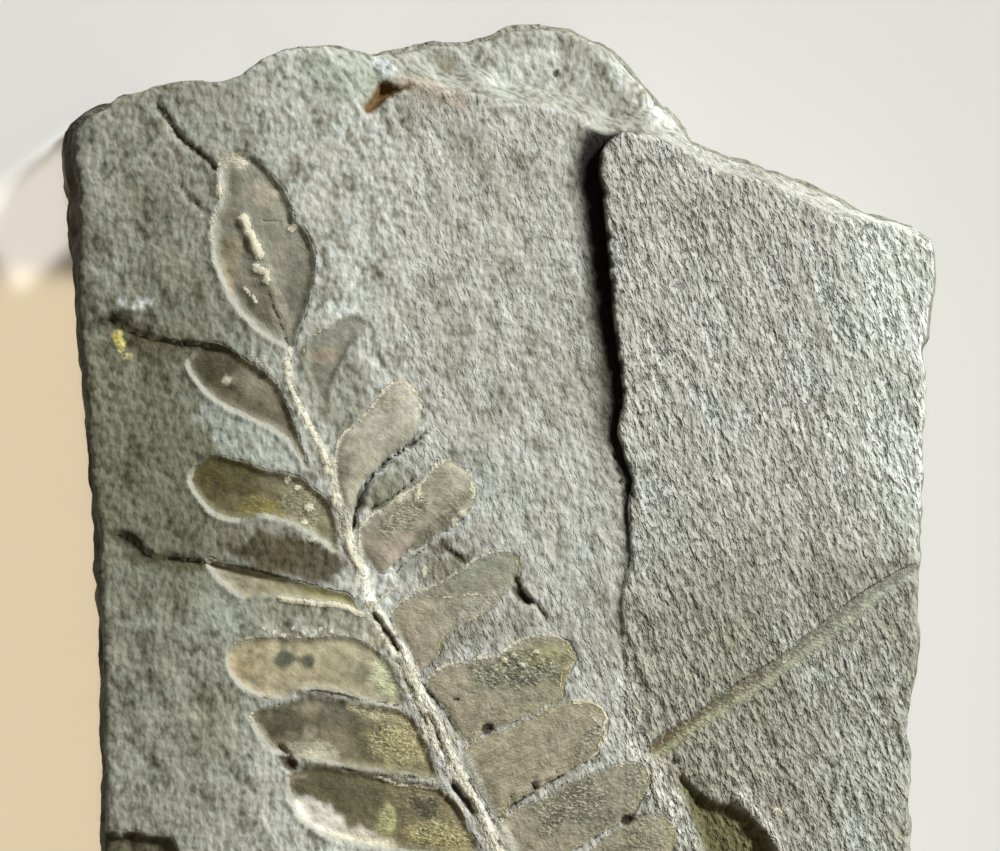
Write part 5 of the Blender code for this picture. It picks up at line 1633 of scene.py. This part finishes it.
class Graph:
    """Short calls for building a material's nodes."""

    def __init__(self, tree: bpy.types.NodeTree) -> None:
        """Works in this node tree."""
        self.tree = tree

    def node(self, kind: str, **settings: object) -> bpy.types.Node:
        """A new node with these settings."""
        made = self.tree.nodes.new(kind)
        for name, value in settings.items():
            setattr(made, name, value)
        return made

    def feed(self, socket: bpy.types.NodeSocket, value: Input) -> None:
        """Links a signal into a socket, or sets a plain value."""
        if isinstance(value, Signal):
            self.tree.links.new(value.socket, socket)
        elif socket.type == "RGBA":
            socket.default_value = (*value, 1)
        else:
            socket.default_value = value

    def run(self, kind: str, inputs: dict[int | str, Input], output: int | str = 0,
            **settings: object) -> Signal:
        """Adds a node and feeds it.

        Args:
            kind: The node's type.
            inputs: What goes into its sockets.
            output: The socket that is wanted.
            **settings: Its other settings.

        Returns:
            What comes out of that socket.
        """
        made = self.node(kind, **settings)
        for socket, value in inputs.items():
            self.feed(made.inputs[socket], value)
        return Signal(self, made.outputs[output])

    def number(self, name: str) -> Signal:
        """The number that the mesh stores under this name."""
        return self.run("ShaderNodeAttribute", {}, "Fac", attribute_name=name)

    def vector(self, name: str) -> Signal:
        """The vector that the mesh stores under this name."""
        return self.run("ShaderNodeAttribute", {}, "Vector", attribute_name=name)

    def split(self, vector: Signal) -> list[Signal]:
        """A vector's X, Y and Z."""
        made = self.node("ShaderNodeSeparateXYZ")
        self.feed(made.inputs[0], vector)
        return [Signal(self, output) for output in made.outputs]

    def flat(self, x: Value, y: Value) -> Signal:
        """Flat coordinates made of two numbers."""
        return self.run("ShaderNodeCombineXYZ", {"X": x, "Y": y})

    def math(self, operation: str, a: Value, b: Value = 0.0) -> Signal:
        """One arithmetic step."""
        return self.run("ShaderNodeMath", {0: a, 1: b}, operation=operation)

    def largest(self, first: Value, *others: Value) -> Signal:
        """The largest of some numbers."""
        for other in others:
            first = self.math("MAXIMUM", first, other)
        return first

    def step(self, value: Value, low: Value, high: Value) -> Signal:
        """A smooth step from 0 at low to 1 at high."""
        inputs = {"Value": value, "From Min": low, "From Max": high}
        return self.run("ShaderNodeMapRange", inputs, "Result", interpolation_type="SMOOTHSTEP", clamp=True)

    def blend(self, share: Value, a: Value, b: Value) -> Signal:
        """A mix of two numbers."""
        inputs = {"Factor": share, "A": a, "B": b}
        return self.run("ShaderNodeMix", inputs, "Result", data_type="FLOAT", clamp_factor=True)

    def mix(self, share: Value, a: Input, b: Input, blend: str = "MIX") -> Signal:
        """A mix of two colours."""
        inputs = {"Factor": share, "A": a, "B": b}
        return self.run("ShaderNodeMix", inputs, "Result", data_type="RGBA", blend_type=blend,
                        clamp_factor=True)

    def tinted(self, share: Value, colour: Signal, tint: Colour) -> Signal:
        """A colour that is multiplied by a tint over a share of it."""
        return self.mix(share, colour, self.mix(1.0, colour, tint, "MULTIPLY"))

    def scaled(self, vector: Signal, factor: Value) -> Signal:
        """A colour or vector times a number."""
        return self.run("ShaderNodeVectorMath", {0: vector, "Scale": factor}, operation="SCALE")

    def grain(self, place: Signal, grain: Grain, rough: Value | None = None) -> Signal:
        """Noise about 0.5.

        Args:
            place: Flat coordinates in millimetres.
            grain: Its size, turn and roughness.
            rough: Another roughness, if it varies.

        Returns:
            The noise.
        """
        turn = math.radians(grain.turn)
        place = self.run("ShaderNodeVectorRotate", {"Vector": place, "Angle": turn}, rotation_type="Z_AXIS")
        share = (1 / grain.size[0], 1 / grain.size[1], 0.0)
        place = self.run("ShaderNodeVectorMath", {0: place, 1: share}, operation="MULTIPLY")
        inputs = {"Vector": place, "Scale": 1.0, "Detail": grain.detail,
                  "Roughness": grain.rough if rough is None else rough}
        return self.run("ShaderNodeTexNoise", inputs, "Fac", noise_dimensions="2D")


@dataclass(frozen=True)
class ShaleFinish:
    """Grey-green shale with satin leaf films, pale crusts, golden specks and dark carbon.

    Attributes:
        lean: How far the grain shifts along X and Y for each millimetre down the sides.
        relief: Height of the fine grain in millimetres.
        shine: Strength of the mirror-like light.
    """

    crust: Colour = linear(222, 218, 200)
    crust_warm: Colour = linear(210, 202, 168)
    # The slope colour is a painted highlight on margin walls that face the light.
    slope: Colour = linear(180, 180, 168)
    gold: Colour = linear(142, 134, 88)
    gold_bright: Colour = linear(216, 208, 166)
    # Real dark carbon, also laid as painted shade in the margin seams.
    carbon: Colour = linear(46, 39, 25)
    # Pit colours: painted shade for the low spots and the pits of the grain.
    pit_shade: Colour = linear(120, 116, 98)
    pit_floor_shade: Colour = linear(58, 54, 38)
    vein: Colour = linear(120, 112, 90)
    pale_dot: Colour = linear(204, 200, 178)
    dark_dot: Colour = linear(92, 90, 72)
    clumps: Grain = Grain((2.2, 6.0), -20.0)
    chips: Grain = Grain((0.72, 1.3), -20.0, 3, 0.52)
    pocks: Grain = Grain((0.68, 0.88), 2.0, 3)
    blots: Grain = Grain((1.7, 4.2), -22.0, 3)
    clouds: Grain = Grain((7.0, 11.0), -20.0, 1, 0.5)
    dust: Grain = Grain((0.22, 0.3), -20.0, 1, 0.5)
    holes: Grain = Grain((0.34, 0.8), -20.0)
    rags: Grain = Grain((0.35, 0.35))
    grit: Grain = Grain((0.42, 0.42), 0.0, 3, 0.68)
    veins: Grain = Grain((1.0, 1.0), 0.0, 1, 0.5)
    mottle: Grain = Grain((1.5, 1.1), 30.0, 3)
    dots: Grain = Grain((0.46, 0.25), 10.0, 2, 0.62)
    waves: Grain = Grain((1.6, 1.6), 0.0, 1, 0.5)
    fibres: Grain = Grain((0.5, 0.2), 8.0)
    lean: Pair = (-0.55, -0.75)
    relief: float = 0.21
    shine: float = 0.35
    stone_rough: float = 0.86
    film_rough: float = 0.56
    crust_rough: float = 0.75

    def material(self) -> bpy.types.Material:
        """The node material."""
        made = bpy.data.materials.new("grey_shale_with_fern")
        made.use_nodes = True
        made.node_tree.nodes.clear()
        layers = ShaleLayers(made.node_tree, self)
        layers.lay_stone()
        layers.lay_film()
        layers.line_margins()
        layers.lay_deposits()
        layers.close()
        return made


class ShaleLayers:
    """The shale's material as it is built up, layer on layer. It holds what is laid so far."""

    def __init__(self, tree: bpy.types.NodeTree, look: ShaleFinish) -> None:
        """Reads what the mesh stores.

        Args:
            tree: The material's empty node tree.
            look: Its colours and grains.
        """
        g = self.g = Graph(tree)
        self.look = look
        where = Signal(g, g.node("ShaderNodeTexCoord").outputs["Object"])
        x, y, z = g.split(g.scaled(where, 1 / MM))
        self.place = g.flat(x + z * look.lean[0], y + z * look.lean[1])
        self.depth = g.number("film")
        self.sharpness = g.number("grain")
        self.dark, self.golden, self.pale = g.split(g.vector("edge"))
        self.rags = g.grain(self.place, look.rags)
        self.grit = g.grain(self.place, look.grit)
        self.colour = g.vector("ground")
        self.height = self.film = self.slope = self.crust = None

    def lay_stone(self) -> None:
        """Bare stone: chipped facets and pits on the right-hand bed, soft mottling elsewhere; low spots and
        pits get painted shade.
        """
        g, look, place, sharpness = self.g, self.look, self.place, self.sharpness
        crisp = g.step(sharpness, 0.12, 0.95)
        clumps = g.grain(place, look.clumps)
        worn = g.step(clumps, 0.52, 0.36)
        coarse = g.blend(g.step(sharpness, 1.0, 1.4), 1.0, 1.4)
        chips = g.grain(place, look.chips)
        pocks = g.grain(place, look.pocks, g.blend(sharpness, 0.32, 0.38))
        blots = g.grain(place, look.blots)
        dust = g.grain(place, look.dust)
        holes = g.grain(place, look.holes) + (0.5 - clumps) * 0.5
        pits = g.step(holes, 0.54, 0.72) * g.step(sharpness, 0.1, 0.9)

        chipped = chips * g.blend(worn, 2.2, 1.1) * coarse
        height = g.blend(crisp, pocks * g.blend(sharpness, 1.1, 2.2), chipped)
        height = g.blend(g.number("side"), height, pocks * 2.4)
        self.height = height - pits * 0.9 + dust * g.blend(sharpness, 0.0, 0.06)

        colour = g.tinted(worn * 0.3, self.colour, (1.3, 1.36, 1.42))
        colour = g.tinted(g.step(g.grain(place, look.clouds), 0.4, 0.7), colour, (0.9, 0.89, 0.86))
        # Painted shade and highlight: the colour follows the same noise as the height, darker in the low
        # spots and lighter on the high ones.
        relief_light_and_shade = g.blend(crisp, (pocks - 0.5) * g.blend(sharpness, 0.9, 1.0), (chips - 0.5) * (coarse * 0.8))
        uneven = (blots - 0.5) * g.blend(crisp, 1.5, 0.6) + relief_light_and_shade
        uneven = 1.01 + (uneven - abs(uneven) * 0.35)
        colour = g.scaled(colour, g.largest(uneven, 0.25))
        colour = g.tinted(g.step(uneven, 1.0, 0.45), colour, (1.02, 1.0, 0.88))
        bright = g.step(blots, 0.54, 0.72) * g.blend(crisp, 0.2, 0.0)
        colour = g.tinted(bright, colour, (1.45, 1.53, 1.53))
        wisps = g.step(abs(blots - 0.48), 0.06, 0.0) * g.step(sharpness, 0.35, 0.0)
        colour = g.tinted(wisps * 0.6, colour, (1.3, 1.42, 1.5))
        # Painted shade: the low spots of the soft grain take the pit colour.
        hollow = g.step(pocks, 0.44, 0.28) * g.blend(crisp, g.blend(sharpness, 0.1, 0.25), 0.0)
        colour = g.tinted(hollow, colour, look.pit_shade)
        # Painted shade: the pits are darkened, as the bump alone casts no shade into them.
        colour = g.mix(pits * 0.55, colour, look.pit_floor_shade)
        specks = g.step(dust, 0.62, 0.74) * g.blend(sharpness, 0.04, 0.12)
        self.colour = g.tinted(specks, colour, (1.6, 1.6, 1.55))

    def lay_film(self) -> None:
        """Leaf film: a ragged edge, veins that fan from the base, and mottling."""
        g, look, place = self.g, self.look, self.place
        lined = g.step(g.largest(self.dark, self.golden, self.pale), 0.0, 0.3)
        edge = self.depth + (self.rags - 0.5) * 0.5
        film = g.step(edge, g.blend(lined, -0.25, -0.06), g.blend(lined, 0.6, 0.12))
        along, across, strength = g.split(g.vector("vein"))
        fan = across / (1.2 + g.largest(along, 0.0) * 0.09)
        veins = g.step(g.grain(g.flat(fan * 5.5, along * 0.35), look.veins), 0.35, 0.65) * strength
        mottle = g.grain(place, look.mottle)
        dots = g.grain(place, look.dots)
        speckle = g.number("speckle")
        gritty = g.blend(g.largest(speckle, self.sharpness * 0.4), 0.06, 0.9)

        uneven = (mottle - 0.5) * g.blend(speckle, 1.3, 2.4)
        leaf = g.scaled(g.vector("tint"), g.largest(1.0 + uneven, 0.3))
        leaf = g.mix(veins * 0.2, leaf, look.vein)
        leaf = g.mix(g.step(dots, 0.54, 0.66) * gritty, leaf, look.pale_dot)
        leaf = g.mix(g.step(dots, 0.44, 0.33) * (gritty * 0.8), leaf, look.dark_dot)
        self.colour = g.mix(film, self.colour, leaf)
        height = self.height * (1.0 - film * 0.86) + veins * film * 0.12
        self.height = height + mottle * film * 0.55 + dots * film * gritty
        self.film = film

    def line_margins(self) -> None:
        """Lines that follow a leaflet's margin: a pale slope, which is a painted highlight where the wall
        faces the light, golden contours and a thin dark seam, partly painted shade.
        """
        g, look = self.g, self.look
        waves = g.grain(self.place, look.waves)
        wavy = self.depth + (self.rags - 0.5) * 0.3
        bent = wavy + (waves - 0.5) * 0.9
        # Painted highlight: the pale slope inside the margin, on the side that faces the light.
        slope = g.step(wavy, -0.3, -0.02) * g.step(wavy, 0.52, 0.2) * g.step(self.pale + waves, 0.55, 1.5)
        inner = g.step(bent, 0.3, 0.38) * g.step(bent, 0.56, 0.46)
        outer = g.step(wavy, 0.0, 0.06) * g.step(wavy, 0.2, 0.12)
        contour = g.largest(inner, outer) * (self.golden * g.step(self.grit, 0.4, 0.56))
        between = g.step(wavy, 0.0, 0.1) * g.step(bent, 0.5, 0.35) * self.golden * 0.5
        # The dark seam is partly the film's dark rim, partly painted shade in the crevice beside it.
        seam = g.step(wavy, -0.24, -0.12) * g.step(wavy, 0.06, -0.06)
        seam = seam * (self.dark * g.step(waves, 0.3, 0.6))
        colour = g.mix(slope * 0.8, self.colour, look.slope)
        colour = g.mix(between, colour, look.gold)
        colour = g.mix(contour * 0.8, colour, look.gold_bright)
        self.colour = g.mix(seam * 0.85, colour, look.carbon)
        self.height = self.height + contour * 0.35 - seam * 0.6
        self.slope = slope

    def lay_deposits(self) -> None:
        """Deposits: each amount is made ragged by noise and then cut off sharply."""
        g, look, grit = self.g, self.look, self.grit
        crust, gold, carbon = g.split(g.vector("marks"))
        fibres = g.grain(self.place, look.fibres)
        carbon = g.step(carbon + (grit - 0.5), 0.28, 0.8)
        gold = g.step(gold + (fibres - 0.5) * 1.8, 0.5, 0.75)
        crust = g.step(crust + (grit - 0.5) * 1.4, 0.42, 0.6)
        gold_colour = g.mix(g.step(grit, 0.5, 0.58), look.gold, look.gold_bright)
        crust_colour = g.mix(g.step(self.rags, 0.4, 0.65), look.crust, look.crust_warm)
        colour = g.mix(gold * 0.75, self.colour, gold_colour)
        colour = g.mix(crust * 0.85, colour, crust_colour)
        self.colour = g.mix(carbon * 0.9, colour, look.carbon)
        self.height = self.height + crust * g.blend(grit, 0.2, 0.6) - carbon * 0.3
        self.crust = crust

    def close(self) -> None:
        """Hands the colour, roughness and relief to the shader."""
        g, look = self.g, self.look
        rough = g.blend(self.film, look.stone_rough, look.film_rough)
        rough = g.blend(g.largest(self.crust, self.slope), rough, look.crust_rough)
        heights = {"Strength": 1.0, "Distance": look.relief * MM, "Height": self.height}
        inputs = {"Base Color": self.colour, "Roughness": rough, "Specular IOR Level": look.shine,
                  "Normal": g.run("ShaderNodeBump", heights)}
        shader = g.run("ShaderNodeBsdfPrincipled", inputs)
        g.feed(g.node("ShaderNodeOutputMaterial").inputs["Surface"], shader)


@dataclass(frozen=True)
class PaperFinish:
    """Plain pale paper for the floor."""

    colour: Colour = (0.755, 0.75, 0.738)

    def material(self) -> bpy.types.Material:
        """The node material."""
        made = bpy.data.materials.new("pale_floor")
        made.use_nodes = True
        shader = made.node_tree.nodes["Principled BSDF"]
        shader.inputs["Base Color"].default_value = (*self.colour, 1)
        shader.inputs["Roughness"].default_value = 0.9
        return made


# --- the studio ---
@dataclass(frozen=True)
class Glow:
    """A warm strip light beside the slab, over the paper that the slab shades.

    Attributes:
        centre: Middle of the strip.
        size: Its sizes along X and Y.
        colour: Its light.
        power: Its power in watts.
        height: Its height over the table.
        turn: Its turn about Z in degrees.
        spread: Angle of its beam in degrees.
    """

    centre: Pair
    size: Pair
    colour: Colour
    power: float
    height: float = 25.0
    turn: float = 0.0
    spread: float = 180.0

    def hang(self, name: str) -> None:
        """Hangs the strip, facing down, out of the camera's sight."""
        data = bpy.data.lights.new(name, "AREA")
        data.shape = "RECTANGLE"
        data.size, data.size_y = self.size[0] * MM, self.size[1] * MM
        data.energy = self.power
        data.color = self.colour
        data.spread = math.radians(self.spread)
        lamp = bpy.data.objects.new(name, data)
        lamp.location = (self.centre[0] * MM, self.centre[1] * MM, self.height * MM)
        lamp.rotation_euler.z = math.radians(self.turn)
        lamp.visible_camera = False
        bpy.context.scene.collection.objects.link(lamp)


@dataclass
class Studio:
    """Floor, lights and the camera that looks straight down."""

    view_centre: Pair = (1.15, 15.4)
    view_width: float = 100.0
    camera_above: float = 300.0
    face_z: float = 20.0
    sensor: float = 36.0
    floor_size: float = 6000.0
    floor_drop: float = 0.2
    key_azimuth: float = 38.0
    key_elevation: float = 33.0
    key_power: float = 4.8
    key_angle: float = 11.0
    key_colour: Colour = (0.985, 0.995, 0.985)
    sky: Colour = (0.148, 0.13, 0.102)
    glows: tuple[Glow, ...] = (
        Glow((-53.0, -19.2), (26.0, 101.6), (1.0, 0.81, 0.55), 0.0072, 8.0, 0.0, 35.0),
        Glow((-46.8, 38.6), (16.0, 9.6), (1.0, 0.93, 0.83), 0.00042, 6.0, 38.0, 35.0),
    )

    def lay_floor(self) -> bpy.types.Object:
        """The floor under the slab."""
        half = self.floor_size / 2 * MM
        mesh = bpy.data.meshes.new("floor")
        mesh.from_pydata([(-half, -half, 0), (half, -half, 0), (half, half, 0), (-half, half, 0)], [],
                         [(0, 1, 2, 3)])
        mesh.materials.append(PaperFinish().material())
        floor = bpy.data.objects.new("floor", mesh)
        floor.location.z = -self.floor_drop * MM
        bpy.context.scene.collection.objects.link(floor)
        return floor

    def hang_lights(self) -> None:
        """A low key from the upper right and a plain soft sky."""
        key = bpy.data.lights.new("key", "SUN")
        key.energy = self.key_power
        key.angle = math.radians(self.key_angle)
        key.color = self.key_colour
        lamp = bpy.data.objects.new("key", key)
        a, e = math.radians(self.key_azimuth), math.radians(self.key_elevation)
        toward = Vector((math.cos(e) * math.cos(a), math.cos(e) * math.sin(a), math.sin(e)))
        lamp.rotation_mode = "QUATERNION"
        lamp.rotation_quaternion = toward.to_track_quat("Z", "Y")
        lamp.location = toward * 2
        bpy.context.scene.collection.objects.link(lamp)
        for number, glow in enumerate(self.glows):
            glow.hang(f"glow_{number}")
        world = bpy.data.worlds.new("sky")
        world.use_nodes = True
        world.node_tree.nodes["Background"].inputs["Color"].default_value = (*self.sky, 1)
        bpy.context.scene.world = world

    def set_camera(self) -> None:
        """The camera, straight above the seen part of the face."""
        data = bpy.data.cameras.new("camera")
        data.sensor_width = self.sensor
        data.lens = self.sensor * self.camera_above / self.view_width
        camera = bpy.data.objects.new("camera", data)
        x, y = self.view_centre
        camera.location = (x * MM, y * MM, (self.face_z + self.camera_above) * MM)
        bpy.context.scene.collection.objects.link(camera)
        bpy.context.scene.camera = camera

    def set_up(self) -> None:
        """Builds the whole studio."""
        self.lay_floor()
        self.hang_lights()
        self.set_camera()
        bpy.context.scene.view_settings.view_transform = "Standard"


def main() -> None:
    """Builds the stone, dresses it and sets up the studio."""
    logging.basicConfig(level=logging.INFO, format="%(name)s: %(message)s")
    stone = Slab().build().to_object("fern_slab")
    stone.data.materials.append(ShaleFinish().material())
    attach(stone, "root")
    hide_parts("fossil_plate")
    Studio().set_up()


if __name__ == "__main__":
    main()
